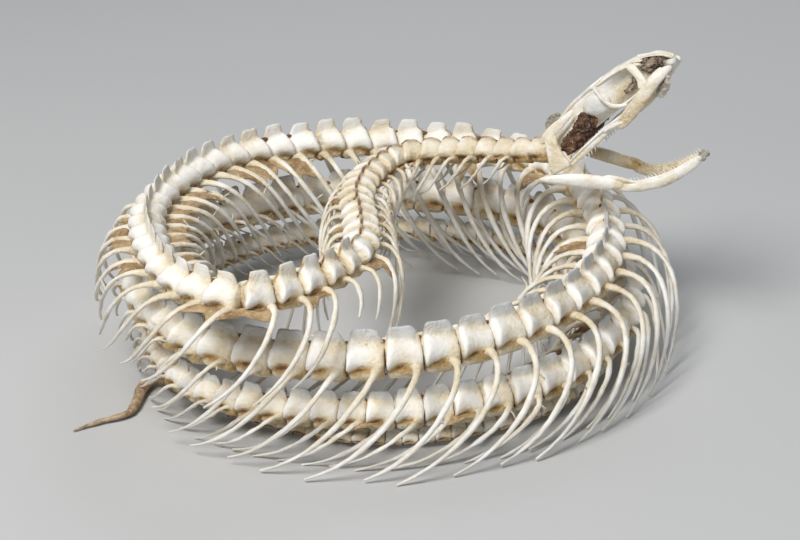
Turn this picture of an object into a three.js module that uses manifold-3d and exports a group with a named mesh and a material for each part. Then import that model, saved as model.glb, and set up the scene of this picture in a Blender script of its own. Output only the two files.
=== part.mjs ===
// The skeleton of a small colubrid snake, coiled three times with its mouth wide open.
// Millimetres, +Z up. The origin is on the floor, under the middle of the coil's bounding box.
import * as THREE from 'three';
import { mergeVertices } from 'three/addons/utils/BufferGeometryUtils.js';
import Module from 'manifold-3d';

const wasm = await Module();
wasm.setup();

// ---------------------------------------------------------------- driving dimensions

// The coil is drawn round its own centre, and this shift sets it over the origin.
const ORIGIN_SHIFT = new THREE.Vector3(0.216, -1.628, 0);

// Angles run clockwise seen from above: 0 is the front, 90 the left, 180 the back, 270 the right.
const COIL_CENTRE = new THREE.Vector2(-2, 3.5);
const COIL_START = 45;
const COIL_STEP = 45;

// Radius and height of the spine at each eighth of a turn, from the neck down to the tail.
const COIL_KNOTS = [
  [40.8, 24.4], [36.3, 23.2], [36.6, 22.2], [35.2, 21.5],
  [39.2, 19.8], [33.9, 17.5], [31.9, 16.3], [33.5, 15.0],
  [37.7, 14.2], [38.0, 13.2], [36.4, 12.7], [35.4, 12.3],
  [37.6, 11.2], [37.3, 9.2], [34.9, 7.5], [34.2, 6.5],
  [37.6, 6.1], [36.5, 5.8], [35.6, 5.6], [35.4, 5.2],
  [36.4, 4.4], [35.6, 3.4], [34.5, 2.3], [34.3, 1.9],
  [34.6, 1.5],
];

// The neck leaves the skull, follows the loop's inside, then bends back over the well.
const NECK_KNOTS = [
  [23.7, 13.3, 29.2], [19.0, 16.3, 28.0], [12.8, 19.2, 27.0], [6.5, 21.5, 26.0],
  [0.0, 21.0, 25.3], [-4.4, 14.2, 25.0], [-6.6, 3.5, 25.0], [-5.9, -6.4, 25.0],
  [-5.8, -15.1, 25.0], [-8.5, -21.9, 25.0], [-13.5, -28.0, 25.0], [-21.0, -32.6, 25.0],
];

// The tail's end lies on the floor and points away from the coil.
const TAIL_KNOTS = [
  [-37.0, -11.7, 1.1], [-38.6, -14.0, 1.0], [-39.0, -18.1, 0.9],
  [-39.8, -21.9, 0.8], [-43.6, -23.9, 0.6], [-47.3, -26.4, 0.25],
];

// Each list pairs a distance from the skull along the spine with a size there.
const VERTEBRA_LENGTHS = [
  [0, 3.1], [55, 3.6], [85, 4.4], [190, 4.7], [290, 5.2], [440, 5.2],
  [498, 4.8], [525, 3.9], [555, 3.3], [640, 2.9], [714, 2.5], [790, 2.1],
];
const VERTEBRA_HALF_HEIGHTS = [
  [0, 2.4], [40, 2.9], [90, 3.2], [290, 3.5], [440, 3.4], [498, 3.2], [525, 2.8],
  [555, 2.5], [640, 2.0], [714, 1.6], [790, 1.0],
];
const RIB_LENGTHS = [
  [0, 6], [15, 10], [45, 12.5], [75, 17], [105, 21], [190, 25], [285, 25], [305, 22],
  [315, 17.5], [325, 12.5], [345, 10.5], [375, 12.5], [440, 18], [480, 20], [515, 17],
  [540, 12], [560, 9.5], [640, 7], [670, 5],
];
const OUTER_SPREADS = [
  [0, 0.4], [100, 0.37], [130, 0.28], [165, 0.23], [205, 0.27], [235, 0.4], [275, 0.4],
  [295, 0.36],
];
const INNER_SPREADS = [[0, 0.4], [110, 0.37], [150, 0.42], [200, 0.44], [240, 0.4], [290, 0.37]];
const RIB_SWEEPS = [
  [0, 35], [60, 25], [100, 42], [135, 35], [180, 22], [230, 25], [270, 36], [300, 43],
  [700, 46],
];

// A vertebra is drawn by two sections, in shares of its length and of its half height.
// The one in front is wide and low, at the joint's wings; the one behind has the tall spine.
const WING_SECTION = { at: 0.08, crest: 0.45, wing: 0.9, keel: 0.78, base: 0.4 };
const SPINE_SECTION = { at: 0.58, crest: 1.0, wing: 0.6, keel: 0.9, base: 0.28 };
const WING_HEIGHT = 0.22;
const JOINT_GAP = 0.3;

// A rib leaves its vertebra at the shoulder, turns at the elbow and ends at the tip.
// back is a share of how far it trails, out of how far it swings, down of how far it drops.
const RIB_ROOT_AT = 0.3;
const SHOULDER = { back: 0.03, out: 1.15, up: 0.6 };
const ELBOW = { back: 0.36, out: 1.25, down: 0.65 };
const INNER_TIP_OUT = 1.0;
const OUTER_TIP_OUT = 0.88;
const RIB_RUN = 0.9;
const DROP_LOST_TO_SWING = 0.25;
const RIBS_BEGIN = 5;
const RIBS_END = 660;
const RIB_RADIUS = 0.42;
const SHELL_SPACING = 2.3;
// Rings of a rib from its shortest length on. Each is a place along it and its thickness there.
const RIB_RINGS = [
  { from: 17, rings: [[0.12, 1.3], [0.4, 1.0], [0.74, 0.85]] },
  { from: 9, rings: [[0.18, 1.25], [0.6, 0.95]] },
  { from: 0, rings: [[0.35, 1.15]] },
];
const RIB_CLEARANCE = 1.0;
const LOOP_CLEARANCE = 0.8;
const LOOP_APART = 25;
const LEAST_SWING = 1.15;
const NECK_LENGTH = 60;

// No two ribs are quite alike: their length, swing and sweep vary by as much as this.
const LENGTH_SCATTER = 0.05;
const SWING_SCATTER = 0.2;
const SWEEP_SCATTER = 3;

// The lengths that the body is divided into, each with its number of vertebrae.
const LENGTHS = [
  ['neck_upper', 10], ['neck_bend', 8],
  ['trunk_01', 10], ['trunk_02', 10], ['trunk_03', 10], ['trunk_04', 10], ['trunk_05', 10],
  ['trunk_06', 9], ['trunk_07', 9], ['trunk_08', 9], ['trunk_09', 9], ['trunk_10', 9],
  ['trunk_11', 10], ['trunk_12', 12], ['trunk_13', 13], ['trunk_14', 15],
  ['tail_base', 20], ['tail_middle', 20],
];

// Stations along the dried tail's end: share of its length, half width and half height.
const TAIL_TIP_SECTIONS = [
  [0, 0.9, 0.95], [0.2, 0.95, 0.85], [0.45, 1.0, 0.8], [0.7, 0.8, 0.6], [0.9, 0.4, 0.35],
];

// The head's frame has its origin at the occiput, +X to the snout, +Y to the left.
const HEAD_POSITION = new THREE.Vector3(24.4, 14.0, 29.8);
const HEAD_TURN = THREE.MathUtils.degToRad(-25);
const HEAD_PITCH = THREE.MathUtils.degToRad(41);

// The lower jaw's frame has its origin midway between the jaw joints.
const JAW_POSITION = new THREE.Vector3(26.75, 12.95, 27.75);
const JAW_TURN = THREE.MathUtils.degToRad(-26.6);
const JAW_PITCH = THREE.MathUtils.degToRad(9.7);
const JAW_ROLL = THREE.MathUtils.degToRad(4);

// Sections of the braincase and snout: x, half width, top and bottom.
const CRANIUM_SECTIONS = [
  [0.4, 1.7, 1.3, -1.6], [2.9, 3.0, 2.4, -1.9], [6.0, 3.5, 3.3, -2.0], [9.5, 3.9, 3.8, -1.9],
  [12.6, 3.7, 3.9, -1.7], [14.3, 2.3, 4.0, -0.5], [17.5, 2.2, 3.9, 0.0], [20.6, 2.6, 3.2, -0.3],
  [21.8, 3.1, 2.8, -1.2], [24.0, 2.6, 1.9, -1.5], [26.0, 1.4, 0.4, -1.5],
];

// Bars of bone: each station is x, distance from the middle, z, half width and half height.
const POSTORBITAL = [
  [13.0, 2.9, 2.6, 0.4, 0.5], [13.7, 4.1, 1.2, 0.35, 0.45], [15.1, 4.6, -0.3, 0.35, 0.4],
  [16.9, 4.7, -1.0, 0.3, 0.3],
];
const MAXILLA = [
  [25.3, 2.7, -0.8, 0.4, 0.5], [22.8, 3.9, -1.3, 0.5, 0.7], [19.2, 4.5, -2.4, 0.5, 0.75],
  [15.4, 4.6, -3.1, 0.45, 0.7], [12.6, 4.4, -3.5, 0.35, 0.4],
];
const PTERYGOID = [
  [20.0, 1.7, -1.6, 0.35, 0.4], [13.5, 2.7, -2.7, 0.4, 0.5], [9.6, 3.7, -3.1, 0.5, 0.6],
  [5.6, 4.8, -3.4, 0.5, 0.6], [2.6, 5.4, -3.8, 0.4, 0.4],
];
const SUPRATEMPORAL = [
  [5.8, 3.5, 2.4, 0.3, 0.45], [3.0, 3.9, 2.4, 0.4, 0.6], [0.3, 4.6, 2.1, 0.4, 0.6],
];
const QUADRATE = [
  [1.7, 5.2, 0.9, 0.5, 0.8], [1.3, 5.6, -1.0, 0.4, 0.7], [0.7, 6.0, -3.0, 0.6, 1.3],
];
const MANDIBLE = [
  [-2.4, 6.3, -1.3, 0.4, 0.45], [0.0, 6.0, -1.3, 0.7, 0.85], [4.0, 5.0, -2.0, 0.6, 1.0],
  [8.0, 4.0, -3.0, 0.55, 1.05], [12.0, 3.0, -3.7, 0.6, 0.8], [16.0, 2.0, -3.2, 0.6, 0.95],
  [19.5, 1.2, -1.5, 0.55, 0.95], [22.0, 0.75, 0.3, 0.45, 0.75],
];
const JAW_TEETH = 7;
const JAW_TOOTH_START = 10.8;
const JAW_TOOTH_STEP = 1.45;
const TOOTH_HEIGHT = 1.0;
const TOOTH_RADIUS = 0.35;
const TOOTH_LEAN = -0.35;
const TOOTH_SUNK = 0.28;

const BONE = { color: 0xe6dfcf, roughness: 0.6, metalness: 0.0 };
const OLD_BONE = { color: 0xcfc0a0, roughness: 0.65, metalness: 0.0 };
const DRIED_SKIN = { color: 0x9a7f5c, roughness: 0.8, metalness: 0.0 };

// ---------------------------------------------------------------- small helpers

function interpolate(pairs, at) {
  const next = pairs.findIndex(([distance]) => distance > at);
  if (next === 0) return pairs[0][1];
  if (next < 0) return pairs[pairs.length - 1][1];
  const [[before, low], [after, high]] = [pairs[next - 1], pairs[next]];
  return low + (high - low) * (at - before) / (after - before);
}

// A repeatable value from -1 to 1, so that no two ribs are quite alike.
function scatter(seed) {
  const value = Math.sin(seed * 12.9898) * 43758.5453;
  return 2 * (value - Math.floor(value)) - 1;
}

// ---------------------------------------------------------------- the spine's path

function coilPoint(angle, radius, height) {
  const turn = THREE.MathUtils.degToRad(angle);
  const x = COIL_CENTRE.x - radius * Math.sin(turn);
  const y = COIL_CENTRE.y - radius * Math.cos(turn);
  return new THREE.Vector3(x, y, height);
}

function spinePath() {
  const toVector = (knot) => new THREE.Vector3(...knot);
  const coil = COIL_KNOTS.map(([radius, height], index) => (
    coilPoint(COIL_START + COIL_STEP * index, radius, height)
  ));
  const points = [...NECK_KNOTS.map(toVector), ...coil, ...TAIL_KNOTS.map(toVector)];
  const path = new THREE.CatmullRomCurve3(points, false, 'centripetal');
  path.arcLengthDivisions = 3000;
  return path;
}

const SPINE = spinePath();
const SPINE_LENGTH = SPINE.getLength();

// Where the spine is at a distance from the skull, with its axes: along, up and to the inside.
function spineFrame(distance) {
  const fraction = THREE.MathUtils.clamp(distance / SPINE_LENGTH, 0, 1);
  const centre = SPINE.getPointAt(fraction);
  const along = SPINE.getTangentAt(fraction);
  const up = new THREE.Vector3(0, 0, 1).addScaledVector(along, -along.z).normalize();
  const inward = new THREE.Vector3().crossVectors(along, up);
  return { centre, along, up, inward };
}

function placeIn(frame, alongBy, inwardBy, upBy) {
  return frame.centre.clone()
    .addScaledVector(frame.along, alongBy)
    .addScaledVector(frame.inward, inwardBy)
    .addScaledVector(frame.up, upBy);
}

// ---------------------------------------------------------------- a closed mesh, face by face

class SolidBuilder {
  constructor() {
    this.points = [];
    this.faces = [];
  }

  addRing(points) {
    const first = this.points.length;
    this.points.push(...points);
    return points.map((_, index) => first + index);
  }

  // Joins two rings of equal size. Corners listed in `turned` take the other diagonal.
  addBand(from, to, turned = []) {
    from.forEach((corner, index) => {
      const next = (index + 1) % from.length;
      if (turned.includes(index)) {
        this.faces.push([corner, from[next], to[index]], [from[next], to[next], to[index]]);
      } else {
        this.faces.push([corner, from[next], to[next]], [corner, to[next], to[index]]);
      }
    });
  }

  addCap(ring, facesBack) {
    for (let index = 1; index < ring.length - 1; index += 1) {
      const face = [ring[0], ring[index], ring[index + 1]];
      this.faces.push(facesBack ? face.reverse() : face);
    }
  }

  addTip(ring, tip) {
    const [apex] = this.addRing([tip]);
    ring.forEach((corner, index) => this.faces.push([corner, ring[(index + 1) % ring.length], apex]));
  }

  removeFace(corners) {
    const key = [...corners].sort().join();
    const found = this.faces.findIndex((face) => [...face].sort().join() === key);
    this.faces.splice(found, 1);
  }

  toGeometry() {
    const geometry = new THREE.BufferGeometry();
    const values = this.points.flatMap((point) => point.toArray());
    geometry.setAttribute('position', new THREE.Float32BufferAttribute(values, 3));
    geometry.setIndex(this.faces.flat());
    geometry.computeVertexNormals();
    return geometry;
  }
}

// ---------------------------------------------------------------- vertebrae

function listVertebrae() {
  const vertebrae = [];
  let start = 0;
  LENGTHS.forEach(([name, count]) => {
    for (let index = 0; index < count; index += 1) {
      const length = interpolate(VERTEBRA_LENGTHS, start);
      vertebrae.push({ name, start, length, number: vertebrae.length });
      start += length;
    }
  });
  return { vertebrae, end: start };
}

const { vertebrae: VERTEBRAE, end: COLUMN_END } = listVertebrae();

// A trunk vertebra has a flat underside, and one of the tail a sharp one.
function vertebraRing(distance, section, isTail) {
  const frame = spineFrame(distance);
  const size = interpolate(VERTEBRA_HALF_HEIGHTS, distance);
  const keelCorners = isTail ? [0] : [section.base, -section.base];
  return [
    placeIn(frame, 0, 0, size * section.crest),
    placeIn(frame, 0, size * section.wing, size * WING_HEIGHT),
    ...keelCorners.map((offset) => placeIn(frame, 0, size * offset, -size * section.keel)),
    placeIn(frame, 0, -size * section.wing, size * WING_HEIGHT),
  ];
}

const OUTER_SIDE = [3, 4];

// ---------------------------------------------------------------- ribs

function turnAt(centre) {
  const angle = Math.atan2(COIL_CENTRE.x - centre.x, COIL_CENTRE.y - centre.y);
  return THREE.MathUtils.radToDeg(angle);
}

function radiusOf(centre) {
  return Math.hypot(centre.x - COIL_CENTRE.x, centre.y - COIL_CENTRE.y);
}

// Samples of the spine. From the neck's end on, each knows its turn, counted on past 360.
function coilSamples() {
  const samples = [];
  let turns = 0;
  let previous = 0;
  for (let distance = 0; distance < SPINE_LENGTH; distance += 1) {
    const { centre } = spineFrame(distance);
    const angle = distance < NECK_LENGTH ? -1 : turnAt(centre);
    if (angle < previous - 180) turns += 1;
    previous = angle;
    samples.push({ distance, centre, turn: angle + 360 * turns, radius: radiusOf(centre) });
  }
  return samples;
}

const COIL = coilSamples();

// How far a rib swings out from the spine. Lower loops lie inside the ribs of the loop above.
function ribBulge(distance, side) {
  const spread = interpolate(side > 0 ? INNER_SPREADS : OUTER_SPREADS, distance);
  const free = spread * interpolate(RIB_LENGTHS, distance);
  const here = COIL.find((sample) => sample.distance >= distance);
  if (here.turn < COIL_START + 360) return free;
  const above = COIL.find((sample) => sample.turn >= here.turn - 360);
  const room = side * (here.radius - above.radius) + ribBulge(above.distance, side) - SHELL_SPACING;
  const least = LEAST_SWING * interpolate(VERTEBRA_HALF_HEIGHTS, distance);
  return Math.max(Math.min(free, room), least);
}

// side is 1 for the rib inside the coil and -1 for the one outside.
function ribCurve(vertebra, side, root) {
  const frame = spineFrame(vertebra.start + RIB_ROOT_AT * vertebra.length);
  const seed = 2 * vertebra.number + side;
  const usual = interpolate(RIB_LENGTHS, vertebra.start);
  const length = usual * (1 + LENGTH_SCATTER * scatter(seed));
  const swing = ribBulge(vertebra.start, side) + SWING_SCATTER * scatter(seed + 0.3);
  const sweep = interpolate(RIB_SWEEPS, vertebra.start) + SWEEP_SCATTER * scatter(seed + 0.7);
  const freeDrop = length * Math.cos(THREE.MathUtils.degToRad(sweep)) - DROP_LOST_TO_SWING * swing;
  const drop = Math.min(freeDrop, frame.centre.z);
  const back = RIB_RUN * Math.sqrt(length * length - drop * drop);
  const tipOut = side > 0 ? INNER_TIP_OUT : OUTER_TIP_OUT;
  const end = placeIn(frame, back, side * swing * tipOut, -drop);
  end.z = Math.max(end.z, 0);
  return new THREE.CubicBezierCurve3(
    root,
    placeIn(frame, back * SHOULDER.back, side * swing * SHOULDER.out, SHOULDER.up),
    placeIn(frame, back * ELBOW.back, side * swing * ELBOW.out, -drop * ELBOW.down),
    end,
  );
}

// A rib is tested at steps along it. Its root, beside its own vertebra, isn't tested.
const RIB_STEPS = 24;
const RIB_ROOT_STEPS = 3;
const RIB_FIRST_STEP = 7;
const placedRibs = [];

function isNearRib(point, number) {
  return placedRibs.some((rib) => rib.number !== number
    && rib.points.some((other) => other.distanceTo(point) < RIB_CLEARANCE));
}

function isNearLoop(point, distance) {
  return COIL.some((sample) => Math.abs(sample.distance - distance) > LOOP_APART
    && sample.centre.distanceTo(point)
      < interpolate(VERTEBRA_HALF_HEIGHTS, sample.distance) + LOOP_CLEARANCE);
}

// A rib stops short where it would meet another rib or another loop. Returns the part kept.
function clearReach(curve, vertebra) {
  const points = curve.getPoints(RIB_STEPS);
  let kept = RIB_FIRST_STEP;
  while (kept < RIB_STEPS
    && !isNearRib(points[kept + 1], vertebra.number)
    && !isNearLoop(points[kept + 1], vertebra.start)) {
    kept += 1;
  }
  placedRibs.push({ number: vertebra.number, points: points.slice(RIB_ROOT_STEPS, kept + 1) });
  return kept / RIB_STEPS;
}

function addRib(builder, vertebra, side, corners) {
  const root = new THREE.Vector3();
  corners.forEach((corner) => root.addScaledVector(builder.points[corner], 1 / 3));
  const curve = ribCurve(vertebra, side, root);
  const reach = clearReach(curve, vertebra);
  const normal = builder.points[corners[0]].clone().sub(root);
  const length = interpolate(RIB_LENGTHS, vertebra.start) * reach;
  const { rings } = RIB_RINGS.find(({ from }) => length >= from);
  let previous = corners;
  rings.forEach(([fraction, thickness]) => {
    const centre = curve.getPoint(fraction * reach);
    const along = curve.getTangent(fraction * reach);
    normal.addScaledVector(along, -normal.dot(along)).normalize();
    const across = new THREE.Vector3().crossVectors(along, normal);
    const ring = [0, 1, 2].map((corner) => {
      const angle = corner * 2 * Math.PI / 3;
      return centre.clone()
        .addScaledVector(normal, RIB_RADIUS * thickness * Math.cos(angle))
        .addScaledVector(across, RIB_RADIUS * thickness * Math.sin(angle));
    });
    const added = builder.addRing(ring);
    builder.addBand(previous, added);
    previous = added;
  });
  builder.addTip(previous, curve.getPoint(reach));
}

// ---------------------------------------------------------------- lengths of the body

function columnLength(vertebrae) {
  const builder = new SolidBuilder();
  const first = vertebrae[0];
  const last = vertebrae[vertebrae.length - 1];
  const isTail = first.name.startsWith('tail');
  let previous = null;
  vertebrae.forEach((vertebra) => {
    const { start, length } = vertebra;
    const inset = vertebra === first ? JOINT_GAP / 2 : WING_SECTION.at * length;
    const middle = start + SPINE_SECTION.at * length;
    const front = builder.addRing(vertebraRing(start + inset, WING_SECTION, isTail));
    const back = builder.addRing(vertebraRing(middle, SPINE_SECTION, isTail));
    if (previous) builder.addBand(previous, front, OUTER_SIDE);
    else builder.addCap(front, true);
    builder.addBand(front, back, OUTER_SIDE);
    previous = back;
    if (start > RIBS_BEGIN && start < RIBS_END) {
      const inner = [front[1], front[2], back[2]];
      const outer = [front[3], front[4], back[3]];
      builder.removeFace(inner);
      builder.removeFace(outer);
      addRib(builder, vertebra, 1, inner);
      addRib(builder, vertebra, -1, outer);
    }
  });
  const end = last.start + last.length - JOINT_GAP / 2;
  const closing = builder.addRing(vertebraRing(end, WING_SECTION, isTail));
  builder.addBand(previous, closing, OUTER_SIDE);
  builder.addCap(closing, false);
  return builder.toGeometry();
}

// The dried end of the tail tapers to a point on the floor.
function tailTip() {
  const start = COLUMN_END + JOINT_GAP / 2;
  const length = SPINE_LENGTH - start;
  const builder = new SolidBuilder();
  let previous = null;
  TAIL_TIP_SECTIONS.forEach(([share, halfWidth, halfHeight]) => {
    const frame = spineFrame(start + share * length);
    const corners = [0, 60, 120, 180, 240, 300].map((degrees) => {
      const angle = THREE.MathUtils.degToRad(degrees);
      return placeIn(frame, 0, halfWidth * Math.sin(angle), halfHeight * Math.cos(angle));
    });
    const ring = builder.addRing(corners);
    if (previous) builder.addBand(previous, ring);
    else builder.addCap(ring, true);
    previous = ring;
  });
  builder.addTip(previous, spineFrame(SPINE_LENGTH).centre);
  return builder.toGeometry();
}

// ---------------------------------------------------------------- the head's bones

// A closed bar through the stations, with an oval section of as many corners as asked for.
function barGeometry(stations, side, corners, upright = new THREE.Vector3(0, 0, 1)) {
  const builder = new SolidBuilder();
  const centres = stations.map(([x, y, z]) => new THREE.Vector3(x, side * y, z));
  let previous = null;
  stations.forEach(([, , , halfWidth, halfHeight], index) => {
    const before = centres[Math.max(index - 1, 0)];
    const after = centres[Math.min(index + 1, centres.length - 1)];
    const along = after.clone().sub(before).normalize();
    const up = upright.clone().addScaledVector(along, -upright.dot(along)).normalize();
    const across = new THREE.Vector3().crossVectors(along, up);
    const points = [];
    for (let corner = 0; corner < corners; corner += 1) {
      const angle = 2 * Math.PI * corner / corners;
      points.push(centres[index].clone()
        .addScaledVector(up, halfHeight * Math.cos(angle))
        .addScaledVector(across, halfWidth * Math.sin(angle)));
    }
    const ring = builder.addRing(points);
    if (previous) builder.addBand(previous, ring);
    else builder.addCap(ring, true);
    previous = ring;
  });
  builder.addCap(previous, false);
  return builder.toGeometry();
}

function cranialLoft() {
  const stations = CRANIUM_SECTIONS.map(([x, halfWidth, top, bottom]) => (
    [x, 0, (top + bottom) / 2, halfWidth, (top - bottom) / 2]
  ));
  return barGeometry(stations, 1, 8);
}

function toManifold(geometry) {
  const bare = geometry.clone();
  bare.deleteAttribute('normal');
  bare.deleteAttribute('uv');
  const merged = mergeVertices(bare, 1e-5);
  const mesh = new wasm.Mesh({
    numProp: 3,
    vertProperties: new Float32Array(merged.attributes.position.array),
    triVerts: new Uint32Array(merged.index.array),
  });
  return new wasm.Manifold(mesh);
}

function united(geometries) {
  const solid = geometries.map(toManifold).reduce((whole, piece) => whole.add(piece));
  const { vertProperties, triVerts } = solid.getMesh();
  const geometry = new THREE.BufferGeometry();
  geometry.setAttribute('position', new THREE.Float32BufferAttribute(vertProperties, 3));
  geometry.setIndex(Array.from(triVerts));
  geometry.computeVertexNormals();
  return geometry;
}

// Height and distance from the middle of a bar at x, from its stations.
function barAt(stations, x) {
  const inOrder = [...stations].sort((one, other) => one[0] - other[0]);
  const columns = [1, 2, 3, 4];
  return columns.map((column) => interpolate(inOrder.map((row) => [row[0], row[column]]), x));
}

// A small tooth leans back from the jaw's upper edge.
function jawTooth(side, x) {
  const [y, z, , halfHeight] = barAt(MANDIBLE, x);
  const tooth = new THREE.ConeGeometry(TOOTH_RADIUS, TOOTH_HEIGHT, 3);
  tooth.rotateX(Math.PI / 2);
  tooth.rotateY(TOOTH_LEAN);
  tooth.translate(x, side * y, z + halfHeight + TOOTH_HEIGHT * (0.5 - TOOTH_SUNK));
  return tooth;
}

function mandible(side) {
  const teeth = [];
  for (let index = 0; index < JAW_TEETH; index += 1) {
    teeth.push(jawTooth(side, JAW_TOOTH_START + JAW_TOOTH_STEP * index));
  }
  return united([barGeometry(MANDIBLE, side, 6), ...teeth]);
}

function cranium() {
  return united([
    cranialLoft(),
    barGeometry(POSTORBITAL, 1, 4),
    barGeometry(POSTORBITAL, -1, 4),
  ]);
}

// ---------------------------------------------------------------- assembly

function named(name, geometry, finish) {
  const material = new THREE.MeshStandardMaterial({ ...finish, flatShading: true });
  const mesh = new THREE.Mesh(geometry, material);
  mesh.name = name;
  return mesh;
}

const skeleton = new THREE.Group();
skeleton.position.copy(ORIGIN_SHIFT);

const head = new THREE.Group();
head.position.copy(HEAD_POSITION);
head.rotation.set(0, -HEAD_PITCH, HEAD_TURN, 'ZYX');
skeleton.add(head);

const jaw = new THREE.Group();
jaw.position.copy(JAW_POSITION);
jaw.rotation.set(JAW_ROLL, -JAW_PITCH, JAW_TURN, 'ZYX');
skeleton.add(jaw);

head.add(named('cranium', cranium(), BONE));
[['left', 1], ['right', -1]].forEach(([word, side]) => {
  const forward = new THREE.Vector3(1, 0, 0);
  head.add(named(`maxilla_${word}`, barGeometry(MAXILLA, side, 6), BONE));
  head.add(named(`pterygoid_${word}`, barGeometry(PTERYGOID, side, 5), BONE));
  head.add(named(`supratemporal_${word}`, barGeometry(SUPRATEMPORAL, side, 5), BONE));
  head.add(named(`quadrate_${word}`, barGeometry(QUADRATE, side, 6, forward), BONE));
  jaw.add(named(`mandible_${word}`, mandible(side), OLD_BONE));
});

LENGTHS.forEach(([name]) => {
  const members = VERTEBRAE.filter((vertebra) => vertebra.name === name);
  skeleton.add(named(name, columnLength(members), BONE));
});
skeleton.add(named('tail_tip', tailTip(), DRIED_SKIN));

export default skeleton;
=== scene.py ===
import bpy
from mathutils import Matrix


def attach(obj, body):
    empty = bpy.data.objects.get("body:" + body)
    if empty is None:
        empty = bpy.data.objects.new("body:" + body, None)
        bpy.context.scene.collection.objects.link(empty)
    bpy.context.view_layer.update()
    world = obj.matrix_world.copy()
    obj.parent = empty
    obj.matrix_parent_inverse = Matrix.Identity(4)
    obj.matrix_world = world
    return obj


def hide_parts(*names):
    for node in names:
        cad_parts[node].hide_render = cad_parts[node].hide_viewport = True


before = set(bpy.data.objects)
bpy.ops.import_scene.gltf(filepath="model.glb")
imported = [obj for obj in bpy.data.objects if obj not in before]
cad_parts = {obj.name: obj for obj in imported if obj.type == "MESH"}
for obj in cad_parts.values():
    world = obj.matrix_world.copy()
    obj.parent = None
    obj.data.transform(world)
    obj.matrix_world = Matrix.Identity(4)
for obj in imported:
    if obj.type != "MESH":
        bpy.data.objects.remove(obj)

"""The looks of a coiled snake skeleton with its mouth wide open, built over its solid model.

Bones are worked out in millimetres in the same frame as the solids and become metres when a mesh
is made. Distances along the spine are counted from the skull towards the tail.
"""

import logging
import math
from dataclasses import dataclass, field
from enum import Enum
from typing import Iterable, Sequence

import bmesh
import bpy
import numpy as np
from mathutils import Matrix, Vector, noise

Colour = tuple[float, float, float, float]
Feed = float | int | str | bool | tuple | bpy.types.NodeSocket
Surface = tuple[list, list]

LOG = logging.getLogger("snake_skeleton")
ROOT = "root"
MM = 0.001
# From the skeleton's own place, in millimetres, to the middle of its bounding box.
ORIGIN_SHIFT = np.array((0.216, -1.628, 0.0))
# The least height of any point, in metres.
FLOOR_GAP = 0.00002
# Large uneven factors that make neighbouring seeds give unlike values.
SCATTER_STEP = 12.9898
SCATTER_STRETCH = 43758.5453
# How fast the finer layers of bumps fade and shrink, how many there are, and their usual pitch.
BUMP_ROUGHNESS = 0.8
BUMP_SHRINK = 2.1
BUMP_LAYERS = 3
BONE_BUMP_PITCH = 1.6


# ---------------------------------------------------------------- plain helpers


class Side(Enum):
    """Which side of the body a bone is on, as the sign of its sideways place."""

    LEFT = 1
    RIGHT = -1

    @property
    def word(self) -> str:
        """The side in lower case, as it is used in names."""
        return self.name.lower()


@dataclass(frozen=True)
class Profile:
    """A size that changes along a length, straight between its stations."""

    stations: tuple[tuple[float, float], ...]

    def at(self, where: float) -> float:
        """The size at one place.

        Args:
            where: Distance along the length.

        Returns:
            The size there, held level past both ends.
        """
        places, sizes = zip(*self.stations)
        return float(np.interp(where, places, sizes))


def scatter(seed: float) -> float:
    """A repeatable value from -1 to 1 for a seed."""
    value = math.sin(seed * SCATTER_STEP) * SCATTER_STRETCH
    return 2 * (value - math.floor(value)) - 1


def fresh_mesh(name: str, points: Sequence, faces: Sequence, edges: Sequence = ()) -> bpy.types.Mesh:
    """Makes a mesh in metres from points in millimetres.

    Args:
        name: Name of the mesh.
        points: Corners in the skeleton's frame, before the shift to the origin.
        faces: Corner numbers of each face.
        edges: Corner numbers of each loose edge.

    Returns:
        The mesh.
    """
    mesh = bpy.data.meshes.new(name)
    placed = (np.asarray(points, float) + ORIGIN_SHIFT) * MM
    mesh.from_pydata(placed.tolist(), list(edges), list(faces))
    mesh.update()
    return mesh


def linked(name: str, mesh: bpy.types.Mesh) -> bpy.types.Object:
    """Puts a mesh into the scene as an object.

    Args:
        name: Name of the object.
        mesh: Its mesh.

    Returns:
        The object.
    """
    piece = bpy.data.objects.new(name, mesh)
    bpy.context.scene.collection.objects.link(piece)
    return piece


def applied(piece: bpy.types.Object) -> None:
    """Turns a piece's modifiers into plain mesh.

    Args:
        piece: The object, which keeps its name.
    """
    graph = bpy.context.evaluated_depsgraph_get()
    graph.update()
    made = bpy.data.meshes.new_from_object(piece.evaluated_get(graph), depsgraph=graph)
    piece.modifiers.clear()
    piece.data = made


def smoothed(piece: bpy.types.Object, levels: int) -> None:
    """Rounds a cage by subdivision and keeps the finer mesh.

    Args:
        piece: The object to round.
        levels: How many times each face is divided.
    """
    rounding = piece.modifiers.new("Rounding", "SUBSURF")
    rounding.levels = levels
    rounding.render_levels = levels
    applied(piece)
    piece.data.polygons.foreach_set("use_smooth", [True] * len(piece.data.polygons))


def weathered(piece: bpy.types.Object, height: float, pitch: float) -> None:
    """Makes a surface uneven by moving its points along their normals.

    Args:
        piece: The object to roughen.
        height: How far a point moves at most, in millimetres.
        pitch: Distance between bumps, in millimetres.
    """
    mesh = piece.data
    normals = [vertex.normal.copy() for vertex in mesh.vertices]
    for vertex, normal in zip(mesh.vertices, normals):
        place = vertex.co / (pitch * MM)
        bump = noise.fractal(place, BUMP_ROUGHNESS, BUMP_SHRINK, BUMP_LAYERS)
        vertex.co += normal * bump * height * MM
    mesh.update()


def kept_above_floor(piece: bpy.types.Object) -> None:
    """Lifts any point of a piece that has gone below the floor."""
    for vertex in piece.data.vertices:
        vertex.co.z = max(vertex.co.z, FLOOR_GAP)


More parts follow.
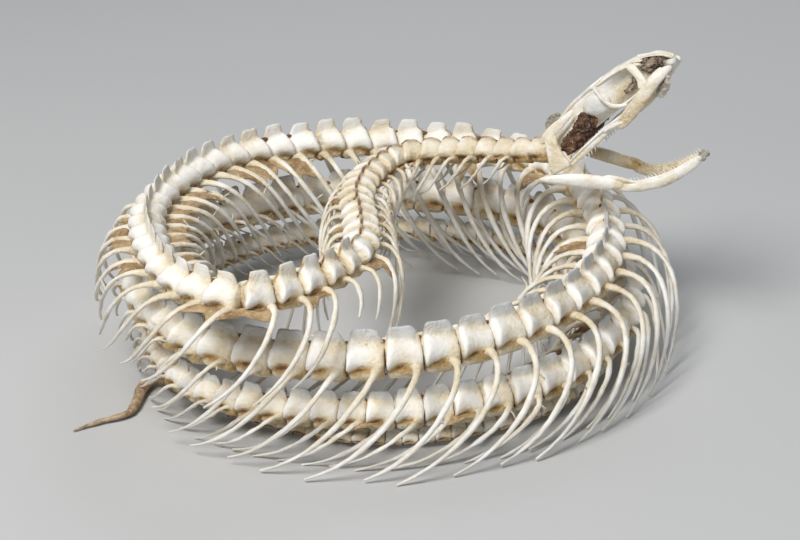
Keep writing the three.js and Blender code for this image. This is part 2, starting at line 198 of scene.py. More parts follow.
def ring_faces(rings: int, corners: int) -> list[tuple[int, ...]]:
    """The faces of a closed tube of rings, with a cap at each end.

    Args:
        rings: Number of rings.
        corners: Points of each ring.

    Returns:
        Point numbers of each face, counted ring by ring.
    """
    faces = []
    for ring in range(rings - 1):
        low, high = ring * corners, (ring + 1) * corners
        for corner in range(corners):
            after = (corner + 1) % corners
            faces.append((low + corner, low + after, high + after, high + corner))
    faces.append(tuple(reversed(range(corners))))
    faces.append(tuple(range((rings - 1) * corners, rings * corners)))
    return faces


def point_layer(mesh: bpy.types.Mesh, label: str, values: Sequence[float]) -> None:
    """Writes one number for each point of a mesh as a named attribute."""
    mesh.attributes.new(label, "FLOAT", "POINT").data.foreach_set("value", values)


def dressed(piece: bpy.types.Object, node: str, finish: bpy.types.Material) -> None:
    """Gives a piece its material and its place in the model.

    Args:
        piece: The finished object.
        node: The solid that it stands for.
        finish: The material.
    """
    piece.data.materials.clear()
    piece.data.materials.append(finish)
    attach(piece, ROOT)
    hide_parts(node)
    LOG.info("%s: %d faces, replaces %s", piece.name, len(piece.data.polygons), node)


# ---------------------------------------------------------------- finishes


class Board:
    """Builds a node tree by adding nodes with their inputs already set."""

    def __init__(self, tree: bpy.types.NodeTree) -> None:
        """Keeps the tree and empties it."""
        self.tree = tree
        self.tree.nodes.clear()

    def add(self, kind: str, settings: dict | None = None, **inputs: Feed) -> bpy.types.Node:
        """Adds a node.

        Args:
            kind: The node's type name.
            settings: Properties of the node itself.
            **inputs: Input sockets by name, with spaces as underscores. Each is a value or a
                socket to link from.

        Returns:
            The node.
        """
        node = self.tree.nodes.new(kind)
        for name, value in (settings or {}).items():
            setattr(node, name, value)
        for name, value in inputs.items():
            self.feed(node, name.replace("_", " "), value)
        return node

    def feed(self, node: bpy.types.Node, name: str | int, value: Feed) -> None:
        """Sets or links one input of a node.

        Args:
            node: The node.
            name: The input's name or number. Where several share a name, the enabled one is used.
            value: A value, or an output socket.
        """
        if isinstance(name, int):
            socket = node.inputs[name]
        else:
            socket = next(s for s in node.inputs if s.name == name and s.enabled)
        if isinstance(value, bpy.types.NodeSocket):
            self.tree.links.new(value, socket)
        else:
            socket.default_value = value

    def maths(self, operation: str, first: Feed, second: Feed,
              clamp: bool = False) -> bpy.types.NodeSocket:
        """Adds, multiplies or otherwise joins two values.

        Args:
            operation: The operation's type name.
            first: A number or socket.
            second: A number or socket.
            clamp: Whether the result is held between 0 and 1.

        Returns:
            The result's socket.
        """
        node = self.add("ShaderNodeMath", {"operation": operation, "use_clamp": clamp})
        self.feed(node, 0, first)
        self.feed(node, 1, second)
        return node.outputs[0]

    def mix(self, share: Feed, first: Feed, second: Feed) -> bpy.types.NodeSocket:
        """Mixes two colours.

        Args:
            share: How much of the second is used.
            first: A colour or socket.
            second: A colour or socket.

        Returns:
            The mixed colour's socket.
        """
        node = self.add("ShaderNodeMix", {"data_type": "RGBA"})
        self.feed(node, 0, share)
        self.feed(node, 6, first)
        self.feed(node, 7, second)
        return node.outputs[2]

    def spread(self, value: Feed, low: float, high: float, to_low: float,
               to_high: float) -> bpy.types.NodeSocket:
        """Stretches a range of values onto another one, held at its ends.

        Args:
            value: The socket to stretch.
            low: Start of the range.
            high: End of the range.
            to_low: Result at the start.
            to_high: Result at the end.

        Returns:
            The result's socket.
        """
        node = self.add("ShaderNodeMapRange", None, Value=value, From_Min=low, From_Max=high,
                        To_Min=to_low, To_Max=to_high)
        return node.outputs[0]

    def pattern(self, place: bpy.types.NodeSocket, scale: float, detail: float, roughness: float,
                distortion: float = 0.0) -> bpy.types.NodeSocket:
        """Adds a noise pattern.

        Args:
            place: The coordinates that it follows.
            scale: Lumps for each metre.
            detail: Number of finer layers.
            roughness: How strong the finer layers are.
            distortion: How far the pattern is pulled about.

        Returns:
            The socket of its value, about 0.5 on average.
        """
        return self.add("ShaderNodeTexNoise", None, Vector=place, Scale=scale, Detail=detail,
                        Roughness=roughness, Distortion=distortion).outputs[0]

    def attribute(self, label: str) -> bpy.types.NodeSocket:
        """Reads a number that the mesh holds under a name."""
        return self.add("ShaderNodeAttribute", {"attribute_name": label}).outputs["Fac"]

    def finished(self, colour: Feed, roughness: Feed, bump: bpy.types.Node) -> None:
        """Adds the shader and the output.

        Args:
            colour: The surface's colour.
            roughness: Its roughness.
            bump: The node that gives its relief.
        """
        shader = self.add("ShaderNodeBsdfPrincipled", None, Base_Color=colour, Roughness=roughness,
                          Normal=bump.outputs[0])
        self.add("ShaderNodeOutputMaterial", None, Surface=shader.outputs[0])


@dataclass(frozen=True)
class BoneFinish:
    """Dry bone: off-white, with tan and brown where tissue dried on, and grey where it is thin."""

    name: str
    pale: Colour = (0.92, 0.905, 0.865, 1.0)
    cream: Colour = (0.78, 0.685, 0.505, 1.0)
    tan: Colour = (0.53, 0.345, 0.14, 1.0)
    brown: Colour = (0.15, 0.065, 0.022, 1.0)
    thin: Colour = (0.56, 0.585, 0.61, 1.0)
    cream_levels: tuple[float, float] = (-0.05, 0.4)
    tan_levels: tuple[float, float] = (0.5, 1.0)
    brown_levels: tuple[float, float] = (1.1, 1.6)
    most_brown: float = 0.95
    most_thin: float = 0.85
    cloudiness: float = 260.0
    grain: float = 1700.0
    marks: float = 190.0
    mark_levels: tuple[float, float] = (0.64, 0.71)
    most_marked: float = 0.85
    cloud_strength: tuple[float, float] = (-0.306, 0.378)
    speckle: float = 0.14
    stain_with_age: tuple[float, float] = (0.95, 1.1)
    yellowing: float = 0.36
    roughness: tuple[float, float] = (0.4, 0.68)
    pores: float = 950.0
    pore_depth: float = 1.5
    bump_strength: tuple[float, float] = (0.35, 1.0)
    bump_depth: float = 0.0003

    def level(self, board: Board, place: bpy.types.NodeSocket) -> bpy.types.NodeSocket:
        """How stained the bone is: its own stain, its age and soft clouds.

        Args:
            board: The material's nodes.
            place: The coordinates that the clouds follow.

        Returns:
            The level, from about 0 on clean bone to 1.6 in the darkest pits.
        """
        clouds = board.pattern(place, self.cloudiness, 4.0, 0.6)
        age = board.attribute("age")
        patchy = board.spread(clouds, 0.3, 0.7, *self.cloud_strength)
        aged = board.maths("MULTIPLY", board.attribute("stain"),
                           board.spread(age, 0.0, 1.0, *self.stain_with_age))
        yellowed = board.maths("ADD", aged, board.maths("MULTIPLY", age, self.yellowing))
        return board.maths("ADD", yellowed, patchy)

    def colour(self, board: Board, place: bpy.types.NodeSocket, level: bpy.types.NodeSocket,
               grain: bpy.types.NodeSocket) -> bpy.types.NodeSocket:
        """The bone's colour from its stain level.

        Args:
            board: The material's nodes.
            place: The coordinates that the marks follow.
            level: How stained it is.
            grain: Its fine grain.

        Returns:
            The colour's socket.
        """
        speckle = board.maths("ADD", level, board.spread(grain, 0.35, 0.7, -self.speckle, self.speckle))
        colour = board.mix(board.spread(level, *self.cream_levels, 0.0, 1.0), self.pale, self.cream)
        colour = board.mix(board.spread(speckle, *self.tan_levels, 0.0, 1.0), colour, self.tan)
        colour = board.mix(board.spread(speckle, *self.brown_levels, 0.0, self.most_brown), colour,
                           self.brown)
        see_through = board.maths("MULTIPLY", board.attribute("thin"), self.most_thin, True)
        colour = board.mix(see_through, colour, self.thin)
        marks = board.pattern(place, self.marks, 5.0, 0.7)
        marked = board.maths("MULTIPLY", board.spread(marks, *self.mark_levels, 0.0, self.most_marked),
                             board.spread(level, 0.1, 0.5, 0.15, 1.0))
        return board.mix(marked, colour, self.brown)

    def material(self) -> bpy.types.Material:
        """Builds the material.

        Returns:
            The material, which reads the attributes stain, age and thin.
        """
        made = bpy.data.materials.new(self.name)
        made.use_nodes = True
        board = Board(made.node_tree)
        place = board.add("ShaderNodeTexCoord").outputs["Object"]
        grain = board.pattern(place, self.grain, 3.0, 0.65)
        level = self.level(board, place)
        pores = board.pattern(place, self.pores, 4.0, 0.7)
        height = board.maths("ADD", grain, board.maths("MULTIPLY", pores, self.pore_depth))
        coarse = board.spread(level, 0.0, 0.7, *self.bump_strength)
        bump = board.add("ShaderNodeBump", None, Strength=coarse, Distance=self.bump_depth, Height=height)
        rough = board.spread(grain, 0.3, 0.7, *self.roughness)
        board.finished(self.colour(board, place, level, grain), rough, bump)
        return made


@dataclass(frozen=True)
class TissueFinish:
    """Dried flesh and skin: dark and fibrous, with pale scraps."""

    name: str
    dark: Colour = (0.028, 0.011, 0.007, 1.0)
    mid: Colour = (0.15, 0.062, 0.028, 1.0)
    light: Colour = (0.52, 0.35, 0.22, 1.0)
    bleached: Colour = (0.5, 0.44, 0.36, 1.0)
    blotches: float = 700.0
    blotch_levels: tuple[float, float] = (0.4, 0.62)
    fibres: float = 2300.0
    fibre_levels: tuple[float, float] = (0.54, 0.72)
    most_light: float = 0.85
    bleached_levels: tuple[float, float] = (0.42, 0.52)
    roughness: tuple[float, float] = (0.45, 0.75)
    bump_strength: float = 0.7
    bump_depth: float = 0.0002

    def material(self) -> bpy.types.Material:
        """Builds the material.

        Returns:
            The material, which reads the attribute thin.
        """
        made = bpy.data.materials.new(self.name)
        made.use_nodes = True
        board = Board(made.node_tree)
        place = board.add("ShaderNodeTexCoord").outputs["Object"]
        blotches = board.pattern(place, self.blotches, 5.0, 0.62)
        fibres = board.pattern(place, self.fibres, 3.0, 0.7, 0.6)
        colour = board.mix(board.spread(blotches, *self.blotch_levels, 0.0, 1.0), self.dark, self.mid)
        colour = board.mix(board.spread(fibres, *self.fibre_levels, 0.0, self.most_light), colour,
                           self.light)
        worn = board.maths("MULTIPLY", board.attribute("thin"),
                           board.spread(blotches, *self.bleached_levels, 0.15, 1.0), True)
        colour = board.mix(worn, colour, self.bleached)
        bump = board.add("ShaderNodeBump", None, Strength=self.bump_strength,
                         Distance=self.bump_depth, Height=fibres)
        board.finished(colour, board.spread(fibres, 0.3, 0.7, *self.roughness), bump)
        return made


# ---------------------------------------------------------------- the spine


@dataclass(frozen=True)
class SpineFrame:
    """A place on the spine with its axes: along to the tail, up, and inward to the coil's middle."""

    centre: np.ndarray
    along: np.ndarray
    up: np.ndarray
    inward: np.ndarray

    def point(self, along: float, inward: float, up: float) -> np.ndarray:
        """A point given by its distances along the three axes, in millimetres."""
        return self.centre + self.along * along + self.inward * inward + self.up * up


@dataclass(frozen=True)
class Vertebra:
    """One vertebra's place in the row."""

    node: str
    number: int
    start: float
    length: float


@dataclass
class Spine:
    """The curve through all vertebrae, and the sizes that change along it."""

    centre: tuple[float, float] = (-2.0, 3.5)
    first_angle: float = 45.0
    angle_step: float = 45.0
    coil: tuple[tuple[float, float], ...] = (
        (40.8, 24.4), (36.3, 23.2), (36.6, 22.2), (35.2, 21.5),
        (39.2, 19.8), (33.9, 17.5), (31.9, 16.3), (33.5, 15.0),
        (37.7, 14.2), (38.0, 13.2), (36.4, 12.7), (35.4, 12.3),
        (37.6, 11.2), (37.3, 9.2), (34.9, 7.5), (34.2, 6.5),
        (37.6, 6.1), (36.5, 5.8), (35.6, 5.6), (35.4, 5.2),
        (36.4, 4.4), (35.6, 3.4), (34.5, 2.3), (34.3, 1.9),
        (34.6, 1.5),
    )
    neck: tuple[tuple[float, float, float], ...] = (
        (23.7, 13.3, 29.2), (19.0, 16.3, 28.0), (12.8, 19.2, 27.0), (6.5, 21.5, 26.0),
        (0.0, 21.0, 25.3), (-4.4, 14.2, 25.0), (-6.6, 3.5, 25.0), (-5.9, -6.4, 25.0),
        (-5.8, -15.1, 25.0), (-8.5, -21.9, 25.0), (-13.5, -28.0, 25.0), (-21.0, -32.6, 25.0),
    )
    tail: tuple[tuple[float, float, float], ...] = (
        (-37.0, -11.7, 1.1), (-38.6, -14.0, 1.0), (-39.0, -18.1, 0.9),
        (-39.8, -21.9, 0.8), (-43.6, -23.9, 0.6), (-47.3, -26.4, 0.25),
    )
    lengths: tuple[tuple[str, int], ...] = (
        ("neck_upper", 10), ("neck_bend", 8),
        *((f"trunk_{number:02d}", 10) for number in range(1, 6)),
        *((f"trunk_{number:02d}", 9) for number in range(6, 11)),
        ("trunk_11", 10), ("trunk_12", 12), ("trunk_13", 13), ("trunk_14", 15),
        ("tail_base", 20), ("tail_middle", 20),
    )
    vertebra_length: Profile = Profile((
        (0, 3.1), (55, 3.6), (85, 4.4), (190, 4.7), (290, 5.2), (440, 5.2),
        (498, 4.8), (525, 3.9), (555, 3.3), (640, 2.9), (714, 2.5), (790, 2.1),
    ))
    half_height: Profile = Profile((
        (0, 2.4), (40, 2.9), (90, 3.2), (290, 3.5), (440, 3.4), (498, 3.2), (525, 2.8),
        (555, 2.5), (640, 2.0), (714, 1.6), (790, 1.0),
    ))
    samples: int = 6000
    reach: float = 0.3
    places: np.ndarray = field(init=False)
    reached: np.ndarray = field(init=False)
    vertebrae: list[Vertebra] = field(init=False)
    column_end: float = field(init=False)

    def __post_init__(self) -> None:
        """Works out the curve and counts the vertebrae along it."""
        self.places = self._curve(self._knots())
        steps = np.linalg.norm(np.diff(self.places, axis=0), axis=1)
        self.reached = np.concatenate([[0.0], np.cumsum(steps)])
        self.vertebrae = []
        start = 0.0
        for node, count in self.lengths:
            for _ in range(count):
                length = self.vertebra_length.at(start)
                self.vertebrae.append(Vertebra(node, len(self.vertebrae), start, length))
                start += length
        self.column_end = start

    @property
    def total(self) -> float:
        """The whole curve's length, from the skull to the tail's tip."""
        return float(self.reached[-1])

    def _knots(self) -> np.ndarray:
        """Puts neck, coil and tail into one row.

        Returns:
            The points that the curve passes through, from the skull on.
        """
        turned = []
        for index, (radius, height) in enumerate(self.coil):
            turn = math.radians(self.first_angle + self.angle_step * index)
            x = self.centre[0] - radius * math.sin(turn)
            y = self.centre[1] - radius * math.cos(turn)
            turned.append((x, y, height))
        return np.array([*self.neck, *turned, *self.tail])

    def _curve(self, knots: np.ndarray) -> np.ndarray:
        """Samples a centripetal curve through the knots.

        Args:
            knots: The points that it passes through.

        Returns:
            Evenly counted samples along it.
        """
        before = 2 * knots[0] - knots[1]
        after = 2 * knots[-1] - knots[-2]
        padded = np.vstack([before, knots, after])
        made = []
        for where in np.linspace(0, len(knots) - 1, self.samples):
            index = min(int(where), len(knots) - 2)
            share = where - index
            p0, p1, p2, p3 = padded[index:index + 4]
            gaps = [math.sqrt(np.linalg.norm(b - a)) for a, b in ((p0, p1), (p1, p2), (p2, p3))]
            d0, d1, d2 = gaps
            leave = d1 * ((p1 - p0) / d0 - (p2 - p0) / (d0 + d1) + (p2 - p1) / d1)
            arrive = d1 * ((p2 - p1) / d1 - (p3 - p1) / (d1 + d2) + (p3 - p2) / d2)
            square, cube = share ** 2, share ** 3
            made.append(p1 * (2 * cube - 3 * square + 1) + leave * (cube - 2 * square + share)
                        + p2 * (3 * square - 2 * cube) + arrive * (cube - square))
        return np.array(made)

    def centre_at(self, distance: float) -> np.ndarray:
        """The spine's place at a distance from the skull."""
        return np.array([np.interp(distance, self.reached, self.places[:, axis]) for axis in range(3)])

    def frame(self, distance: float) -> SpineFrame:
        """The place and axes of the spine.

        Args:
            distance: Millimetres from the skull.

        Returns:
            The frame there.
        """
        low, high = max(distance - self.reach, 0), min(distance + self.reach, self.total)
        along = self.centre_at(high) - self.centre_at(low)
        along /= np.linalg.norm(along)
        up = np.array((0.0, 0.0, 1.0)) - along * along[2]
        up /= np.linalg.norm(up)
        return SpineFrame(self.centre_at(distance), along, up, np.cross(along, up))

    def turn_of(self, place: np.ndarray) -> float:
        """The angle of a place round the coil, in degrees from the front, clockwise from above."""
        return math.degrees(math.atan2(self.centre[0] - place[0], self.centre[1] - place[1]))

    def radius_of(self, place: np.ndarray) -> float:
        """A place's distance from the coil's middle, seen from above."""
        return math.hypot(place[0] - self.centre[0], place[1] - self.centre[1])


# ---------------------------------------------------------------- ribs


@dataclass(frozen=True)
class Rib:
    """One rib as a row of points with its thickness at each."""

    vertebra: Vertebra
    side: int
    points: np.ndarray
    radii: np.ndarray


@dataclass(frozen=True)
class Tube:
    """A row of points with thickness, stain, age and thinness at each."""

    points: np.ndarray
    radii: np.ndarray
    stain: np.ndarray
    age: float
    thin: np.ndarray


@dataclass
class RibCage:
    """Works out every rib from its vertebra, and keeps it clear of its neighbours."""

    spine: Spine
    length: Profile = Profile((
        (0, 6), (15, 10), (45, 12.5), (75, 17), (105, 21), (190, 25), (285, 25), (305, 22),
        (315, 17.5), (325, 12.5), (345, 10.5), (375, 12.5), (440, 18), (480, 20), (515, 17),
        (540, 12), (560, 9.5), (640, 7), (670, 5),
    ))
    outer_spread: Profile = Profile((
        (0, 0.4), (100, 0.37), (130, 0.28), (165, 0.23), (205, 0.27), (235, 0.4), (275, 0.4),
        (295, 0.36),
    ))
    inner_spread: Profile = Profile((
        (0, 0.4), (110, 0.37), (150, 0.42), (200, 0.44), (240, 0.4), (290, 0.37),
    ))
    sweep: Profile = Profile((
        (0, 35), (60, 25), (100, 42), (135, 35), (180, 22), (230, 25), (270, 36), (300, 43),
        (700, 46),
    ))
    begin: float = 5.0
    finish: float = 660.0
    shell_spacing: float = 2.3
    neck_length: float = 60.0
    loop_apart: float = 25.0
    rib_clearance: float = 1.0
    loop_clearance: float = 0.8
    steps: int = 24
    root_steps: int = 3
    first_step: int = 7
    points_each: int = 15
    base_radius: float = 0.39
    full_length: float = 20.0
    thickness_power: float = 0.35
    root_at: float = 0.3
    root_back: float = 0.05
    root_low: float = 0.55
    shoulder: tuple[float, float, float] = (0.03, 1.15, 0.6)
    elbow: tuple[float, float, float] = (0.36, 1.25, 0.65)
    outer_tip: float = 0.88
    least_swing: float = 1.15
    drop_lost: float = 0.25
    run: float = 0.9
    length_scatter: float = 0.05
    swing_scatter: float = 0.2
    sweep_scatter: float = 3.0
    drift: float = 0.25
    hook_rise: float = 0.8
    hook_from: float = 0.72
    flare: Profile = Profile((
        (0, 2.3), (0.05, 1.85), (0.13, 1.25), (0.25, 1.1), (0.5, 1.1), (0.75, 0.85), (0.9, 0.6),
        (1, 0.35),
    ))
    samples: list[tuple[float, np.ndarray, float, float]] = field(init=False)
    placed: list[tuple[int, np.ndarray]] = field(init=False)

    def __post_init__(self) -> None:
        """Counts the coil's turns along the spine."""
        self.placed = []
        self.samples = []
        turns, previous = 0, 0.0
        for distance in np.arange(0, self.spine.total, 1.0):
            centre = self.spine.centre_at(distance)
            angle = -1.0 if distance < self.neck_length else self.spine.turn_of(centre)
            if angle < previous - 180:
                turns += 1
            previous = angle
            radius = self.spine.radius_of(centre)
            self.samples.append((distance, centre, angle + 360 * turns, radius))
        self.centres = np.array([sample[1] for sample in self.samples])
        self.distances = np.array([sample[0] for sample in self.samples])
        self.turns = np.array([sample[2] for sample in self.samples])
        heights = [self.spine.half_height.at(distance) for distance in self.distances]
        self.keep_off = np.array(heights) + self.loop_clearance

    def swing(self, distance: float, side: int) -> float:
        """How far a rib swings out. A lower loop lies inside the ribs of the one above.

        Args:
            distance: Where its vertebra is.
            side: 1 inside the coil, -1 outside.

        Returns:
            Millimetres sideways from the spine.
        """
        spread = (self.inner_spread if side > 0 else self.outer_spread).at(distance)
        free = spread * self.length.at(distance)
        here = self.samples[int(np.argmax(self.distances >= distance))]
        if here[2] < self.spine.first_angle + 360:
            return free
        above = self.samples[int(np.argmax(self.turns >= here[2] - 360))]
        room = side * (here[3] - above[3]) + self.swing(above[0], side) - self.shell_spacing
        return max(min(free, room), self.least_swing * self.spine.half_height.at(distance))

    def controls(self, vertebra: Vertebra, side: int) -> np.ndarray:
        """The four control points of a rib's curve.

        Args:
            vertebra: The vertebra that it grows from.
            side: 1 inside the coil, -1 outside.

        Returns:
            The points from root to tip.
        """
        start = vertebra.start
        at = self.spine.frame(start + self.root_at * vertebra.length)
        seed = 2 * vertebra.number + side
        length = self.length.at(start) * (1 + self.length_scatter * scatter(seed))
        swing = self.swing(start, side) + self.swing_scatter * scatter(seed + 0.3)
        sweep = math.radians(self.sweep.at(start) + self.sweep_scatter * scatter(seed + 0.7))
        drop = min(length * math.cos(sweep) - self.drop_lost * swing, at.centre[2])
        back = self.run * math.sqrt(length ** 2 - drop ** 2)
        low = self.root_low * self.spine.half_height.at(start)
        root = at.point(-self.root_back * vertebra.length, side * low, -low)
        end = at.point(back, side * swing * (1.0 if side > 0 else self.outer_tip), -drop)
        end[2] = max(end[2], 0.0)
        along, out, up = self.shoulder
        shoulder = at.point(back * along, side * swing * out, up)
        along, out, down = self.elbow
        elbow = at.point(back * along, side * swing * out, -drop * down)
        return np.array((root, shoulder, elbow, end))

    def curve(self, controls: np.ndarray, share: float) -> np.ndarray:
        """Follows a rib's curve.

        Args:
            controls: Its four control points.
            share: How far along it, from 0 to 1.

        Returns:
            The point there.
        """
        root, shoulder, elbow, end = controls
        rest = 1 - share
        return (rest ** 3 * root + 3 * rest ** 2 * share * shoulder
                + 3 * rest * share ** 2 * elbow + share ** 3 * end)

    def reach(self, vertebra: Vertebra, controls: np.ndarray) -> float:
        """How much of a rib's curve stays clear of other ribs and loops.

        Args:
            vertebra: The rib's vertebra.
            controls: The control points of its curve.

        Returns:
            The share that is kept.
        """
        shares = [step / self.steps for step in range(self.steps + 1)]
        points = np.array([self.curve(controls, share) for share in shares])
        others = [row for number, row in self.placed if number != vertebra.number]
        crowd = np.vstack(others) if others else np.empty((0, 3))
        apart = np.abs(self.distances - vertebra.start) > self.loop_apart
        kept = self.first_step
        while kept < self.steps:
            point = points[kept + 1]
            gaps = np.linalg.norm(crowd - point, axis=1)
            loops = np.linalg.norm(self.centres - point, axis=1) < self.keep_off
            if np.any(gaps < self.rib_clearance) or np.any(loops & apart):
                break
            kept += 1
        self.placed.append((vertebra.number, points[self.root_steps:kept + 1]))
        return kept / self.steps

    def rib(self, vertebra: Vertebra, side: int) -> Rib:
        """Shapes one rib.

        Args:
            vertebra: The vertebra that it grows from.
            side: 1 inside the coil, -1 outside.

        Returns:
            The rib's points and thickness.
        """
        controls = self.controls(vertebra, side)
        kept = self.reach(vertebra, controls)
        shares = np.linspace(0, 1, self.points_each)
        points = np.array([self.curve(controls, share * kept) for share in shares])
        size = (self.length.at(vertebra.start) / self.full_length) ** self.thickness_power
        radii = np.array([self.flare.at(share) for share in shares]) * self.base_radius * size
        seed = 3.7 * vertebra.number + side
        drift = np.array([scatter(seed + 0.11), scatter(seed + 0.23), scatter(seed + 0.41)])
        points += np.outer(np.sin(shares * math.pi) ** 2, drift) * self.drift
        hook = self.hook_rise * (1 + scatter(seed + 0.57)) / 2
        points[:, 2] += hook * np.clip((shares - self.hook_from) / (1 - self.hook_from), 0, 1) ** 2
        points[:, 2] = np.maximum(points[:, 2], radii)
        return Rib(vertebra, side, points, radii)

    def all_ribs(self) -> list[Rib]:
        """Every rib from the neck to the tail, inner before outer at each vertebra."""
        grown = [v for v in self.spine.vertebrae if self.begin < v.start < self.finish]
        return [self.rib(vertebra, side) for vertebra in grown for side in (1, -1)]


# ---------------------------------------------------------------- vertebrae


@dataclass(frozen=True)
class VertebraStation:
    """A cross-section of a vertebra, in shares of its length and half height."""

    at: float
    spine_top: float
    spine_at: float
    arch_top: float
    dome_half: float
    flank_half: float
    wing_out: float
    wing_up: float
    wing_at: float
    pit_out: float
    facet_out: float
    keel_down: float


SHORT_PLATE = (
    VertebraStation(0.00, 0.28, 0.08, 0.24, 0.30, 0.42, 0.60, -0.34, 0.02, 0.60, 0.72, -1.02),
    VertebraStation(0.22, 1.20, 0.17, 0.38, 0.34, 0.50, 0.76, -0.32, 0.16, 0.66, 0.96, -1.18),
    VertebraStation(0.42, 0.99, 0.47, 0.48, 0.40, 0.58, 0.66, -0.14, 0.50, 0.50, 0.80, -1.06),
    VertebraStation(0.62, 1.20, 0.82, 0.54, 0.50, 0.74, 0.82, -0.16, 0.80, 0.38, 0.70, -1.00),
    VertebraStation(0.86, 0.62, 0.74, 0.60, 0.66, 0.96, 1.08, -0.38, 1.20, 0.38, 0.66, -1.00),
    VertebraStation(0.99, 0.40, 1.00, 0.34, 0.38, 0.50, 0.58, -0.34, 1.04, 0.46, 0.64, -0.94),
)
LONG_PLATE = (
    VertebraStation(0.00, 0.36, 0.04, 0.32, 0.42, 0.60, 0.78, -0.34, 0.00, 0.68, 0.82, -1.08),
    VertebraStation(0.17, 1.08, 0.17, 0.40, 0.38, 0.56, 0.84, -0.34, 0.12, 0.74, 0.98, -1.30),
    VertebraStation(0.40, 1.03, 0.40, 0.46, 0.38, 0.56, 0.74, -0.22, 0.44, 0.66, 0.92, -1.24),
    VertebraStation(0.66, 1.06, 0.68, 0.50, 0.46, 0.68, 0.82, -0.20, 0.78, 0.52, 0.88, -1.22),
    VertebraStation(0.90, 1.12, 0.90, 0.58, 0.64, 0.94, 1.08, -0.42, 1.16, 0.50, 0.86, -1.20),
    VertebraStation(1.00, 0.44, 0.92, 0.38, 0.50, 0.72, 0.84, -0.40, 1.02, 0.60, 0.82, -1.08),
)
LONG_STAIN = (0.22, 0.22, 0.18, 0.12, -0.25, 0.15)
LONG_THIN = (0.0, 1.0, 1.0, 1.0, 1.0, 0.2)
LOW_STAIN = (0.1, 0.05, 0.0, 0.0, -0.2, 0.2)
LOW_CORNER_STAIN = (0.6, 0.2, -0.1, -0.15, -0.1, 0.1, 0.45, 0.45, 0.5)
LOW_PLATE = (
    VertebraStation(0.00, 0.40, 0.04, 0.34, 0.42, 0.60, 0.66, -0.30, 0.00, 0.62, 0.72, -0.96),
    VertebraStation(0.22, 0.64, 0.24, 0.46, 0.46, 0.68, 0.80, -0.28, 0.16, 0.66, 0.84, -1.06),
    VertebraStation(0.44, 0.74, 0.46, 0.52, 0.50, 0.74, 0.86, -0.24, 0.48, 0.64, 0.80, -1.02),
    VertebraStation(0.66, 0.76, 0.70, 0.58, 0.58, 0.84, 0.96, -0.20, 0.78, 0.62, 0.74, -0.98),
    VertebraStation(0.90, 0.66, 0.94, 0.62, 0.66, 0.98, 1.08, -0.20, 1.14, 0.58, 0.70, -0.96),
    VertebraStation(1.00, 0.42, 1.00, 0.44, 0.52, 0.72, 0.78, -0.30, 1.04, 0.58, 0.68, -0.92),
)


